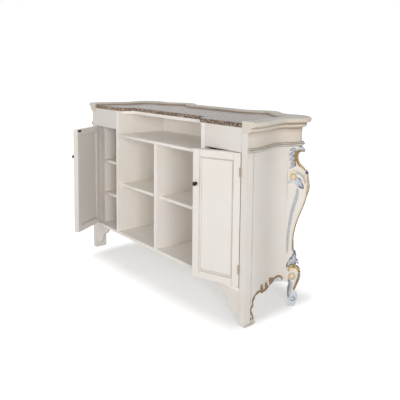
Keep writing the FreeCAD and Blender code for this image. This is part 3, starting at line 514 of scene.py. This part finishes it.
# Marble slab: the line beside the rim, closed by a working edge that steps back in the middle.
slabSize = {"bayEnd": 448.0, "run": 85.0, "recess": 87.0, "bottom": 1065.0, "top": 1088.0, "gap": 0.3,
            "steps": 13, "edge": {"ease": 2.0, "band": 1.0, "glazeAndPaintedLight": 0.0}}
t = np.linspace(0, 1, slabSize["steps"])
stepIn = rowsOf(slabSize["run"] * (1.5 * t * (1 - t) + t ** 3) - slabSize["bayEnd"],
                slabSize["recess"] * t ** 2 * (3 - 2 * t))
slabEdge = slabLine + leftOf(slabTangent) * slabSize["gap"]
slabOutline = np.concatenate([slabEdge, stepIn, (stepIn * [-1, 1])[::-1]])
slab = easedSlab(outlineAt(slabOutline), slabSize["bottom"], slabSize["top"], **slabSize["edge"])
addPiece("marble_slab", slab, "marble", ["marble_top"])
print("marble made")


# Doors: s runs from the hinge axis along the leaf, d inwards from the axis, z up.
doorSize = {"axisX": 777.0, "axisY": -5.3, "near": 1.0, "far": 291.0, "face": 5.3, "thickness": 36.0,
            "bottom": 207.0, "top": 932.0, "frame": 42.0, "panelFace": 12.0, "panelThickness": 12.0,
            "knobHeight": 740.0, "knobSteps": 30}
# The sign of x from hinge to free edge, and the degrees turned at rest
doorTurn = {"left": (1, -60.0), "right": (-1, 20.0)}


# A point of the leaf turns by the door's angle about the hinge axis.
def onDoor(points, side):
    way, degrees = doorTurn[side]
    angle = math.radians(degrees)
    s, d, z = columnsOf(points)
    x = way * s * math.cos(angle) - d * math.sin(angle) - way * doorSize["axisX"]
    y = way * s * math.sin(angle) + d * math.cos(angle) + doorSize["axisY"]
    return rowsOf(x, y, z)


near, far, low, high = (doorSize[key] for key in ("near", "far", "bottom", "top"))
face, wide = doorSize["face"], doorSize["frame"]
back, sunk = face + doorSize["thickness"], face + doorSize["panelFace"]
start, end, sill, head = near + wide, far - wide, low + wide, high - wide   # the opening inside the frame
boards = {"door_hinge_stile": ((near, face, low), (start, back, high), "upright"),
          "door_free_stile": ((end, face, low), (far, back, high), "upright"),
          "door_bottom_rail": ((start, face, low), (end, back, sill), "level"),
          "door_top_rail": ((start, face, head), (end, back, high), "level"),
          "door_panel": ((start, sunk, sill), (end, sunk + doorSize["panelThickness"], head), "upright")}
# Bead round the panel, as (inwards from the frame, depth, glaze), mitred round the opening
beadProfile = np.array([(0, 0.5, 1.0), (1.2, 0.2, 0.6), (2.4, 0.6, 0.1), (3.0, 2.6, 0.8), (4.2, 2.8, 0.2),
                        (6.5, 5.0, 0), (8.2, 8.2, 0), (9.0, 11.0, 0.7), (9.4, 11.9, 1.0), (0, 11.9, 0)])
corners = np.array([(start, sill), (end, sill), (end, head), (start, head)])
inward = np.array([(1, 1), (-1, 1), (-1, -1), (1, -1)])
loop = corners[:, None] + inward[:, None] * beadProfile[None, :, :1]
points = rowsOf(loop[..., 0], face + beadProfile[:, 1], loop[..., 1])
bead = points, [gridFaces(*points.shape[:2], True, True)], np.tile(beadProfile[:, 2], len(corners))
# Knob turned about its axis, as (distance from the door, radius): rosette, neck and flattened ball
knobProfile = np.array([(0, 0), (0, 9.0), (1.2, 9.4), (2.4, 8.6), (3.0, 6.4), (4.5, 5.0), (8.0, 4.4),
                        (11.0, 5.2), (13.0, 8.0), (15.0, 10.6), (17.5, 11.9), (19.5, 11.6), (21.6, 9.6),
                        (23.2, 6.0), (24.0, 2.5), (24.0, 0)])
out, radius = knobProfile.T
turn = 2 * np.pi * np.arange(doorSize["knobSteps"])[:, None] / doorSize["knobSteps"]
s, z = around((far - wide / 2, doorSize["knobHeight"]), radius, turn)
points = rowsOf(s, face - out, z)
knob = points, [gridFaces(*points.shape[:2], wrapRows=True)], 0
for side in doorTurn:
    body = side + "_door"
    for label, (corner, opposite, grain) in boards.items():
        board = placed(easedBoard(corner, opposite), onDoor, side)
        addPiece("eased_%s_%s" % (side, label), board, grain, [side + "_" + label], body=body)
    addPiece(side + "_door_bead", placed(bead, onDoor, side), "upright", body=body, sharp=30)
    turned = placed(knob, onDoor, side)
    addPiece(side + "_turned_knob", turned, "bronze", [side + "_door_knob"], body, weld=True)
print("doors made")


# Relief is laid out flat as (along, up, proud) and bent into place by a surface's function.
# A rounded rib along a path, swelling from its ends, with lobes along it where asked
def ribRelief(path, width, height, taper=0.12, lobes=0):
    path = np.asarray(path, float)
    tangent = np.gradient(path, axis=0)
    normal = leftOf(tangent / np.linalg.norm(tangent, axis=1)[:, None])
    t = np.linspace(0, 1, len(path))
    swell = np.clip(np.minimum(t, 1 - t) / taper, 0.12, 1) ** 0.6 * (1 + 0.22 * np.sin(2 * np.pi * lobes * t))
    turn = np.radians([-115, -80, -55, -30, 0, 30, 55, 80, 115])
    across, rise = np.sin(turn), np.cos(turn)
    half = np.interp(t, np.linspace(0, 1, np.size(width)), np.ravel(width)) * swell / 2
    plan = path[:, None] + normal[:, None] * across[None, :, None] * half[:, None, None]
    points = raised(plan, height * swell[:, None] * rise)
    return tube(points, np.where(np.abs(across) > 0.9, 0.75, 0.0))


# A rib along the smooth line through keys
def rib(keys, *shape):
    return ribRelief(smoothPath(keys), *shape)


# A leaf on a bent spine: pointed, lobed outline, raised mid rib and a vein each side.
def leaf(base, tip, width, bend, height, lobes=3):
    base, tip = np.asarray(base, float), np.asarray(tip, float)
    u, v = np.linspace(0, 1, 17)[:, None], np.linspace(-1, 1, 11)[None]
    way = tip - base
    middle = (base + tip) / 2 + np.array([-way[1], way[0]]) / np.linalg.norm(way) * bend
    spine = (1 - u) ** 2 * base + 2 * u * (1 - u) * middle + u ** 2 * tip
    along = np.gradient(spine, axis=0)
    normal = leftOf(along / np.linalg.norm(along, axis=1)[:, None])
    outline = width / 2 * np.sin(np.pi * np.clip(u, 0.03, 0.98) ** 0.75) ** 0.8
    outline = outline * (1 - 0.25 * np.abs(np.sin(np.pi * lobes * u)) ** 3)
    plan = spine[:, None] + normal[:, None] * (v * outline)[..., None]
    vein = np.exp(-((np.abs(v) - 0.45) / 0.14) ** 2)
    section = 0.75 * (1 - np.abs(v) ** 2.2) + 0.3 * np.exp(-(v / 0.16) ** 2) - 0.25 * vein
    rise = height * np.sin(np.pi * np.clip(u, 0.05, 0.95)) ** 0.5 * section
    dark = np.clip(0.9 * np.abs(v) ** 4 + 0.5 * vein, 0, 1)
    return shell(raised(plan, rise), raised(plan, -2.0), dark, 1.0)


# A boss: a dome inside a sunk ring, as rings of (radius, height, glaze).
bossProfile = np.array([(0.02, 1.0, 0), (0.25, 0.96, 0), (0.5, 0.82, 0), (0.68, 0.6, 0.2), (0.76, 0.38, 0.9),
                        (0.84, 0.46, 0.1), (0.93, 0.42, 0.1), (1.0, 0.2, 0.6), (1.0, -0.4, 1.0)])


def boss(centre, radius, height):
    ring, rise, dark = bossProfile.T[..., None]
    return tube(rowsOf(*around(centre, radius * ring, circle), rise * height), dark)


# The path of a scroll, winding in as it turns
def spiralPath(centre, radius, start, turns, inner):
    t = np.linspace(0, 1, 40)
    angle, reach = np.radians(start) + 2 * np.pi * turns * t, radius * (1 - (1 - inner) * t)
    return rowsOf(*around(centre, reach, angle))


skinSize = {"inset": 3.0, "thickness": 16.0, "rows": 24, "seam": 4.5, "footColumns": 9}
postDepth = 45.0   # depth of the corner posts


# The end's surface: depth y and height z stand on the plan line set in a little, h proud along its normal.
def onEnd(points, sign, inset=skinSize["inset"]):
    along, up, proud = columnsOf(points)
    normal = planNormal[:lobePlace + 1]
    skin = planLine[:lobePlace + 1] - normal * inset
    x, across, deep = readAlong(along, skin[:, 1], skin[:, 0], *normal.T)
    return rowsOf(sign * (x + across * proud), along + deep * proud, up)


# A skin on a surface: the grid of (along, up) outside and the same set in by the thickness.
def skinOn(grid, glazeAndPaintedLight, surface, *settings):
    outer, inner = (surface(raised(grid, proud), *settings) for proud in (0.0, -skinSize["thickness"]))
    return shell(outer, inner, glazeAndPaintedLight, glazeAndPaintedLight)


# The grid of (along, up) from a lower edge up to the frieze
def gridAbove(edge):
    low, lift = edge[None, :, 1], np.linspace(0, 1, skinSize["rows"])[:, None]
    return rowsOf(edge[None, :, 0], low + (counter["friezeBottom"] - low) * lift)


# Lower edge of an end, as (depth, height): up the carved back of its foot, then along to the leg.
footKeys = [(84, 0), (71.4, 23.7), (68.9, 41.4), (59.6, 63.6), (52.9, 85.8), (65.5, 105), (67.2, 127.3),
            (79, 148)]
alongKeys = [(103, 158.4), (131.8, 159.8), (152.8, 146.5), (179.7, 141.3), (224.5, 144.3), (257.4, 148),
             (284.3, 153.9), (311.2, 154.7), (341, 150.2), (357.6, 148)]
apronSpan = 8
apron, apronTangent = splineThrough(footKeys + alongKeys, apronSpan)
footTop = apronSpan * (len(footKeys) - 1)
legBack = np.array([763.0, 383.0])
skinLine = planLine[:lobePlace + 1] - planNormal[:lobePlace + 1] * skinSize["inset"]
behindLeg = ((skinLine - legBack) @ [1, 1]) / math.sqrt(2)   # how far the skin lies outside the leg's back
hollowPlace = 4 * planSpan   # the plan line's deepest hollow, past which the skin nears the leg
endStop = np.interp(0, behindLeg[hollowPlace:], skinLine[hollowPlace:, 1])
depth, height = apron[:footTop + 1].T[..., None]
across = np.linspace(0, 1, skinSize["footColumns"])
foot = rowsOf(postDepth + (depth - postDepth) * across, height)
rest = apron[footTop + 1:]
rest = rest[rest[:, 0] < endStop - 1]
upper = gridAbove(np.concatenate([foot[-1], rest, [(endStop, counter["apronLevel"])]]))
footBoard = (790.0, 84.0, 185.0)   # far corner of the straight board inside the carved foot
board = easedBoard((counter["postFace"], postDepth, 0), footBoard)
for side, sign in sides:
    parts = []
    for grid in (foot, upper):
        seam = np.exp(-((grid[..., 0] - postDepth) / skinSize["seam"]) ** 2)
        parts.append(skinOn(grid, seam, onEnd, sign))
    parts.append(placed(board, lambda points: points * [sign, 1, 1]))
    addPiece(side + "_end_skin", joinParts(parts), "upright", [side + "_end_panel"])
print("end panels made")

# Carving of an end: rolled edge, silver down the foot and gilt above, flame leaves, a scroll over a hollow.
flames = [[(172, 148), (161, 160), (152, 176), (150, 196)], [(226, 147), (217, 156), (209, 169), (207, 186)],
          [(276, 156), (267, 167), (258, 181), (257, 197)], [(292, 166), (285, 173), (280, 181), (280, 190)]]
scrollKeys = [(252, 151), (270, 160), (290, 173), (311, 182), (334, 184), (347, 177), (351, 166), (345, 158)]
silverRun, giltRun = slice(1, 26), slice(9, 104)   # stretches of the apron's line
rolled = apron + leftOf(apronTangent) * 3.0
gilt = joinParts([ribRelief(rolled[giltRun], [7, 9, 10, 11, 11], 6.0, 0.05, 7),
                  rib(scrollKeys, [9, 10, 11, 10, 8], 6.5, 0.15),
                  *(rib(keys, [11, 20, 25, 22, 10], 7.0, 0.1) for keys in flames)])
flowerSize = {"middle": (51, 33), "petals": 5, "petalLength": 9, "petalWidth": 7, "heart": 3.5}
flower = []
for turn in np.radians(90 + 360 / flowerSize["petals"] * np.arange(flowerSize["petals"])):
    tip = around(flowerSize["middle"], flowerSize["petalLength"], turn)
    flower.append(leaf(flowerSize["middle"], tip, flowerSize["petalWidth"], 0, 3.5, 1))
flower = joinParts(flower + [boss(flowerSize["middle"], flowerSize["heart"], 4.0)])
# Hollow between the rolled edge and the scroll's top, dished in the middle and darker towards the top
dishSize = {"rim": 2.4, "sink": 1.8, "columns": 9, "glazeAndPaintedLight": 0.6}
roof = smoothPath(scrollKeys[1:6])
base = rowsOf(roof[:, 0], np.interp(roof[:, 0], *rolled[footTop:].T) - 2)
v = np.linspace(0, 1, dishSize["columns"])
spread = base[:, None] * (1 - v[None, :, None]) + roof[:, None] * v[None, :, None]
dish = np.outer(np.sin(np.linspace(0, np.pi, len(roof))), np.sin(np.pi * v))
dark = v ** 4 * dishSize["glazeAndPaintedLight"]
hollow = shell(raised(spread, dishSize["rim"] - dishSize["sink"] * dish), raised(spread, -1.0), dark, dark)
footEdge = ribRelief((apron - leftOf(apronTangent))[silverRun], [9, 8, 6], 5.0, 0.1, 2)
# Carved strip at the floor, as (start, end, inset of its ground): on the panel and on the post
strips = {"places": ((46, 86, 3.0), (1, 45, 0.0)), "middle": 8.0, "width": 13.0, "proud": 2.0,
          "lobes": 5, "points": 24}
for side, sign in sides:
    addCarving(side + "_apron_carving", placed(gilt, onEnd, sign), "brownGilt", [side + "_end_carving"])
    addCarving(side + "_foot_flower", placed(flower, onEnd, sign), "slatePaintedShade")
    addCarving(side + "_apron_hollow", placed(hollow, onEnd, sign), "paleSilver")
    silver = [placed(footEdge, onEnd, sign)]
    for start, end, inset in strips["places"]:
        line = np.linspace((start, strips["middle"]), (end, strips["middle"]), strips["points"])
        strip = ribRelief(line, strips["width"], strips["proud"] + inset, 0.02, strips["lobes"])
        silver.append(placed(strip, onEnd, sign, inset))
    addCarving(side + "_foot_carving", joinParts(silver), "silver")
print("end carving made")

# Customers' front: a serpentine skin between the corner stiles, as (x, y) from the right end to the middle.
front = {"besideLeg": 25.2, "half": 741, "columns": 181, "edgeSpan": 16}
frontStart = legBack + np.array([-1, 1]) * front["besideLeg"] / math.sqrt(2)
frontWaves = [(602, 497), (508.5, 543), (415, 589), (350, 554.5), (285, 520), (142.5, 515), (0, 515)]
frontKeys = np.array([frontStart, (frontStart + frontWaves[0]) / 2, *frontWaves])
frontLine, frontTangent = splineThrough(bothHalves(frontKeys), planSpan)
frontLine, frontNormal = frontLine[::-1], -leftOf(frontTangent)[::-1]
# Lower edge as (x, height) from the right end to the middle
edgeKeys = [(763, 150), (602, 195), (415, 150), (285, 195), (142.5, 165), (0, 138)]
frontEdge = smoothPath(bothHalves(edgeKeys), front["edgeSpan"])[::-1]


# The front's surface: x and height z stand on the front line, h proud of it along its normal.
def onFront(points):
    along, up, proud = columnsOf(points)
    y, across, deep = readAlong(along, *frontLine.T, *frontNormal.T)
    return rowsOf(along + across * proud, y + deep * proud, up)


run = np.linspace(-front["half"], front["half"], front["columns"])
edge = rowsOf(run, np.interp(run, *frontEdge.T))
addPiece("front_skin", skinOn(gridAbove(edge), 0.0, onFront), "upright", ["front_panel"])
# Rolled edge, a rib above it, and three leaves over each rise and over the middle
gilt = [ribRelief(edge + [0, 4.0], 10.0, 6.0, 0.01, 40), ribRelief((edge + [0, 13.0])[6:-6], 4.0, 3.0, 0.02)]
for x in (0, 285, -285, 602, -602):
    base = float(np.interp(x, *edge.T))
    for lean, tall in ((-26, 32), (0, 54), (26, 32)):
        gilt.append(leaf((x + lean * 0.4, base + 6), (x + lean, base + tall), 20, 0, 6.0))
addCarving("front_apron_carving", placed(joinParts(gilt), onFront), "gilt", ["front_carving"])
print("front made")


# Console legs: r runs outwards on the corner's diagonal from the leg's back, a across it, z up.
# Outline, half width and the hollow behind the foot, each as (height, size)
legKeys = {
    "reach": [(0, 60), (30, 68), (58, 75), (78, 66), (94, 56), (140, 74), (183, 87), (220, 81), (248, 54),
              (285, 57), (323, 46), (385, 43), (449, 50), (512, 66), (571, 87), (628, 106), (670, 116),
              (703, 120), (749, 118), (787, 113), (805, 97), (829, 74), (862, 58), (888, 60), (905, 78),
              (918, 88), (930, 82), (937, 64)],
    "half": [(0, 18), (33, 22), (58, 22), (94, 17), (140, 20), (183, 24), (248, 20), (323, 16), (420, 16),
             (512, 19), (600, 23), (700, 28), (780, 28), (830, 24), (880, 22), (937, 22)],
    "hollow": [(0, 27.8), (19, 24.4), (47, 19.7), (81, 19.1), (104, 22), (126, 25.5), (141, 13.9), (148, 0)],
}
legLines = {name: smoothPath(keys, 6) for name, keys in legKeys.items()}
legSize = {"heights": np.linspace(0.3, 936.6, 150), "columns": 25}


# The leg's reach, half width or hollow at a height
def legAt(name, z):
    return np.interp(z, *legLines[name].T)


# A point of the leg: r along the diagonal from its back, a square to it, each shared between x and y.
def onLeg(r, a, z, sign):
    x, y = legBack[0] + (r + a) / math.sqrt(2), legBack[1] + (r - a) / math.sqrt(2)
    return rowsOf(sign * x, y, z)


# A side of the leg: (r, z, h) with h proud of the section's flank, a fourth power ellipse.
def onLegSide(points, sign, flank):
    r, z, h = columnsOf(points)
    reach = np.clip(r / legAt("reach", z), 0, 0.97)
    return onLeg(r, flank * (legAt("half", z) * (1 - reach ** 4) ** 0.25 + h), z, sign)


# The nose of the leg: (a, z, h) with h proud of the section's front, the same ellipse.
def onLegFront(points, sign):
    a, z, h = columnsOf(points)
    share = np.clip(np.abs(a) / legAt("half", z), 0, 0.95)
    return onLeg(legAt("reach", z) * (1 - share ** 4) ** 0.25 + h, a, z, sign)


# A scroll rolled across the leg, dished at the ends and waisted between: rings as (place, radius, glaze)
rollHalf = np.array([(1.0, 0.02, 0), (1.05, 0.22, 0), (1.0, 0.36, 0.5), (0.9, 0.44, 1.0), (0.98, 0.56, 0.4),
                     (1.02, 0.75, 0), (0.97, 0.93, 0), (0.82, 1.0, 0.2), (0.4, 0.86, 0), (0, 0.82, 0)])
rollProfile = np.concatenate([rollHalf, (rollHalf[:-1] * [-1, 1, 1])[::-1]])


def rollAcross(centre, radius, half, sign):
    place, ring, dark = rollProfile.T[..., None]
    r, z = around(centre, radius * ring, circle)
    return tube(onLeg(r, half * place, z, sign), dark)


# Sections of the leg from foot to top: half of a fourth power ellipse between the hollow and the reach.
def legSections(z, sign, proud=0.0):
    turn = np.radians(np.linspace(-90, 90, legSize["columns"]))
    out, wing = np.abs(np.cos(turn)) ** 0.5, np.sign(np.sin(turn)) * np.abs(np.sin(turn)) ** 0.5
    z = z[:, None]
    hollow, half = legAt("hollow", z) - proud, legAt("half", z) + proud
    return onLeg(hollow + (legAt("reach", z) + proud - hollow) * out, half * wing, z, sign)


# Carving of a leg's side by finish: ribs through (r, z) with width, height, taper, lobes; leaves base to tip.
# Ruffles as (height, reach of the tip, its drop, width)
ruffles = ((918, 8, 6, 26), (896, 3, 12, 30), (872, 6, 16, 28), (850, 14, 20, 24), (828, 8, 18, 18))
sideCarving = {
    "gilt": [
        rib([(66, 914), (58, 900), (55, 880), (57, 860), (68, 835), (87, 813), (104, 798)],
            [8, 8, 9, 10, 12, 12, 10], 5.5, 0.1),
        rib([(112, 778), (115, 740), (116, 703), (112, 668), (104, 632)], [8, 9, 9, 8, 5], 4.5, 0.06),
        rib([(20, 208), (22, 227), (33, 240), (47, 246)], [11, 15, 17, 15], 6.0, 0.2, 2),
        rib([(47, 246), (59, 234), (72, 226), (85, 217)], [15, 14, 13, 13], 6.0, 0.2, 2)],
    "brownGilt": [
        rib([(113, 672), (103, 626), (84, 569), (63, 512), (47, 449), (40, 385), (40, 328)], 5.5, 4.0, 0.04),
        rib([(58, 916), (51, 900), (48, 878), (50, 857), (60, 834), (78, 815)],
            [12, 14, 13, 11, 9, 6], 4.5, 0.12),
        # The next two ribs are painted shade: a dark band between the ruffle and the gilt band, and one under
        # the crest.
        rib([(46, 918), (39, 895), (36, 868), (38, 842), (44, 824)], [10, 14, 15, 12, 8], 5.0, 0.15),
        rib([(44, 906), (58, 911), (72, 911), (84, 904)], [10, 12, 12, 9], 7.0, 0.2),
        leaf((47, 226), (50, 266), 28, 0, 7.5, 1),
        rib([(80, 205), (79, 182), (70, 146), (58, 113), (51, 92)], [11, 15, 16, 15, 11], 4.5, 0.1)],
    # Slate: painted shade under the pale leaves, in the foot's scroll and along the lower inner edge.
    "slatePaintedShade": [
        leaf((46, 759), (90, 696), 46, -5, 5.0, 1),
        leaf((45, 236), (55, 328), 40, 3, 6.0, 1),
        leaf((54, 298), (6, 230), 35, -4, 5.0, 1),
        ribRelief(spiralPath((48, 50), 15, 200, 0.9, 0.3), 5.0, 3.5, 0.1),
        rib([(18, 166), (24, 152), (28, 128), (23, 102), (21, 74), (23, 50)], [10, 9, 7, 7, 7], 3.5, 0.12)],
    "paleGilt": [
        rib([(13, 772), (17, 786), (34, 796), (58, 797), (82, 786), (101, 763), (108, 730), (107, 690),
             (103, 655)], 7.0, 5.0, 0.1),
        rib([(103, 655), (93, 610), (75, 560), (56, 505), (41, 449), (34, 385), (34, 330)], 3.5, 3.0, 0.08),
        rib([(23, 212), (34, 223), (48, 227), (62, 220), (72, 208)], 13.0, 5.0, 0.15)],
    "boss": [boss((31, 764), 20.0, 7.0), boss((38, 182), 20.0, 7.0)],
    "ruffle": [leaf((42, top), (reach, top - drop), wide, -6, 8.0, 1)
               for top, reach, drop, wide in ruffles],
    # Blue-grey silver strips stand in for the shade in the leg's inner channel and hollows: silver leaf and
    # painted shade.
    "blueSilverPaintedShade": [
        rib([(38, 785), (58, 786), (78, 774), (93, 750), (98, 722)], 12.0, 3.0, 0.15),
        rib([(57, 704), (55, 664), (48, 632), (34, 581), (21, 511), (13, 433), (10, 363), (10, 312)],
            [16, 19, 19, 17, 14, 11, 9], 2.4, 0.06),
        rib([(33, 152), (36, 128), (32, 102), (29, 74), (30, 50)], [16, 20, 19, 16, 12], 3.0, 0.12)],
    "paleSilver": [
        leaf((48, 757), (85, 704), 40, -5, 9.0, 2),
        rib([(6, 722), (20, 738), (38, 740), (52, 724), (58, 700)], 14.0, 5.5, 0.15, 2),
        rib([(44, 908), (56, 922), (72, 930), (87, 926), (92, 913), (86, 906)],
            [8, 10, 11, 11, 8], 6.5, 0.12),
        leaf((46, 244), (54, 320), 34, 3, 9.0, 3),
        leaf((50, 290), (10, 236), 30, -4, 8.0, 2),
        leaf((52, 278), (78, 248), 20, 3, 7.0, 2),
        ribRelief(spiralPath((38, 182), 24, 200, 0.72, 0.92), 6.0, 4.0, 0.1),
        rib([(116, 778), (118, 745), (118, 705), (114, 670)], 6.0, 3.0, 0.1),
        rib([(84, 198), (84, 176), (76, 146), (65, 118)], 7.0, 3.0, 0.1)],
}
noseCarving = [leaf((0, 772), (0, 640), 44, 0, 8.0, 5), leaf((0, 300), (0, 392), 24, 0, 6.0, 4),
               leaf((0, 196), (0, 118), 30, 0, 6.0, 4)]
shoe = {"heights": np.linspace(0.2, 84.0, 16), "thickness": 0.7}   # silver leaf over the foot
# Rolls as (centre, radius, half length); the slate knot is painted shade
rolls = {"paleSilver": [((84, 914), 11, 27), ((48, 50), 25, 22)], "slatePaintedShade": [((107, 788), 10, 27)],
         "gilt": [((80, 212), 8, 26)]}
# Corner stile behind the leg, as corners of (across, reach)
stile = {"low": np.array([-30.0, -20.0]), "high": np.array([4.0, 0.0]), "corner": 1.5,
         "edge": {"ease": 1.0, "band": 2.0, "glazeAndPaintedLight": 0.3}}
stilePart = easedSlab(rectangleAt(stile["low"], stile["high"], stile["corner"]), counter["apronLevel"],
                      counter["friezeBottom"], **stile["edge"])
for side, sign in sides:
    leg = tube(legSections(legSize["heights"], sign), 0.0)
    addPiece(side + "_leg_body", leg, "upright", [side + "_front_leg"], sharp=50)
    for colour, parts in sideCarving.items():
        carving = [placed(part, onLegSide, sign, flank) for flank in (1, -1) for part in parts]
        if colour == "paleSilver":
            carving += [placed(part, onLegFront, sign) for part in noseCarving]
            carving.append(tube(legSections(shoe["heights"], sign, shoe["thickness"]), 0.0))
        carving += [rollAcross(*roll, sign) for roll in rolls.get(colour, [])]
        addCarving("%s_leg_%s" % (side, colour), joinParts(carving), colour)
    upright = placed(stilePart, lambda points: onLeg(points[..., 1], points[..., 0], points[..., 2], sign))
    addPiece(side + "_corner_stile", upright, "upright", [side + "_leg_stile"])
print("legs made")

# Brackets beside the feet: an ogee outline in two sweeps, as shares of the length and the height.
bracket = {"face": 3.0, "back": 23.0, "length": 178.0, "height": 138.0, "top": 185.0,
           "edge": {"ease": 1.2, "band": 2.0, "glazeAndPaintedLight": 0.25}}
ogeeKeys = [(1.0, 0), (0.92, 0.105), (0.84, 0.235), (0.68, 0.36), (0.545, 0.48), (0.455, 0.70), (0.35, 0.905),
            (0.2, 0.955), (0, 1.0)]
outline = np.concatenate([smoothPath(ogeeKeys, 5), [(0, 0)]]) * [-bracket["length"], -bracket["height"]]
ringAt = outlineAt(outline + [counter["postFace"], bracket["top"]])
ogee = easedSlab(ringAt, bracket["face"], bracket["back"], **bracket["edge"])
for side, sign in sides:
    part = placed(ogee, lambda points: points[..., [0, 2, 1]] * [sign, 1, 1])
    addPiece(side + "_ogee_bracket", part, "level", [side + "_bracket_foot"])
print("brackets made")

# CAD solids that stay as they are
kept = {"bottom_board": "paintedLightLevel", "deck": "paintedLightLevel", "inner_back_panel": "paintedLightUpright",
        "left_cabinet_side": "paintedLightUpright", "right_cabinet_side": "paintedLightUpright",
        "front_web": "plainBoard", "shelf_pins": "nickel", "hinge_pins": "nickel",
        "hinge_post_leaves": "brass", "left_hinge_door_leaves": "brass", "right_hinge_door_leaves": "brass",
        "magnetic_catches": "plastic", "left_door_strike": "bronze", "right_door_strike": "bronze"}
for node, colour in kept.items():
    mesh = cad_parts[node].data
    mesh.materials.clear()
    mesh.materials.append(finish[colour])
print("kept solids finished")

# Floor: pale, with the object's own shadow on it and a painted shadow: its glow to the camera is dimmer over
# the counter's footprint and pales to the backdrop's white further out. Sizes in metres.
stage = {"size": 60, "paintedShadowGlow": 0.26, "farGlow": 0.68, "paintedShadowMiddle": (0.075, 0.06, 0.0),
         "paintedShadowHalf": (0.69, 0.245, 0.0), "fade": (0.16, 0.26, 1.0), "worldLight": 0.46}
bpy.ops.mesh.primitive_plane_add(size=stage["size"])
floor = bpy.context.object
floor.name = "floor"
material, tree, shader, away = newMaterial("studio floor")
# How far a point of the floor lies outside the painted shadow over the counter's footprint, in lengths of the
# fade
steps = (("SUBTRACT", stage["paintedShadowMiddle"]), ("ABSOLUTE", (0, 0, 0)), ("SUBTRACT", stage["paintedShadowHalf"]),
         ("MAXIMUM", (0, 0, 0)), ("DIVIDE", stage["fade"]))
for operation, value in steps:
    away = addNode(tree, "VectorMath", {0: away, 1: value}, operation=operation).outputs[0]
away = addNode(tree, "VectorMath", {0: away}, operation="LENGTH").outputs["Value"]
# The glow is dimmer near the counter: a painted shadow.
paintedShadowPaling = addNode(tree, "MapRange", {"Value": away, "To Min": stage["paintedShadowGlow"], "To Max": stage["farGlow"]},
                 interpolation_type="SMOOTHSTEP")
seen = addNode(tree, "LightPath")
glow = addNode(tree, "Math", {0: seen.outputs["Is Camera Ray"], 1: paintedShadowPaling.outputs[0]}, operation="MULTIPLY")
setSockets(tree, shader, {"Base Color": linear("#f2f2f2"), "Roughness": 0.9, "Specular IOR Level": 0.0,
                          "Emission Color": linear("#ffffff"), "Emission Strength": glow.outputs[0]})
floor.data.materials.append(material)

# World: white to the camera and in reflections, softer as light.
world = bpy.data.worlds.new("studio")
bpy.context.scene.world = world
world.use_nodes = True
tree = world.node_tree
seen = addNode(tree, "LightPath").outputs
shown = seen["Is Camera Ray"]
for ray in ("Is Glossy Ray", "Is Transmission Ray"):
    shown = addNode(tree, "Math", {0: shown, 1: seen[ray]}, operation="MAXIMUM").outputs[0]
strength = addNode(tree, "MapRange", {"Value": shown, "To Min": stage["worldLight"], "To Max": 1.0})
setSockets(tree, tree.nodes["Background"], {"Color": linear("#ffffff"), "Strength": strength.outputs[0]})

# Lamps as (place in metres, size, power), all turned to the middle of the counter
lamps = {"main": ((7.0, -3.6, 1.9), 2.4, 222.0), "front": ((1.6, -7.8, 1.9), 2.4, 142.0),
         "back": ((-3.2, 7.4, 1.1), 3.0, 260.0)}
middle = np.array([0, 0, 0.55])
for name, (place, wide, power) in lamps.items():
    lamp = bpy.data.lights.new(name, "AREA")
    lamp.size, lamp.energy = wide, power
    holder = bpy.data.objects.new(name, lamp)
    aim = middle - np.array(place)
    holder.rotation_euler = (math.atan2(math.hypot(aim[0], aim[1]), -aim[2]), 0, math.atan2(-aim[0], aim[1]))
    holder.location = place
    holder.visible_camera = holder.visible_glossy = False
    bpy.context.scene.collection.objects.link(holder)

# Camera: place in metres, angles in radians, lens and sensor in millimetres
view = {"place": (2.7099, -2.0780, 1.3723), "yaw": 0.8780, "pitch": 0.0998, "roll": 0.0112, "lens": 47.24,
        "sensor": 36.0, "shiftY": -0.20}
camera = bpy.data.objects.new("camera", bpy.data.cameras.new("camera"))
camera.data.lens, camera.data.sensor_width, camera.data.shift_y = view["lens"], view["sensor"], view["shiftY"]
camera.matrix_world = (Matrix.Translation(view["place"]) @ Matrix.Rotation(view["yaw"], 4, "Z")
                       @ Matrix.Rotation(math.pi / 2 - view["pitch"], 4, "X")
                       @ Matrix.Rotation(view["roll"], 4, "Z"))
bpy.context.scene.collection.objects.link(camera)
bpy.context.scene.camera = camera
bpy.context.scene.view_settings.view_transform = "Standard"
print("stage set")
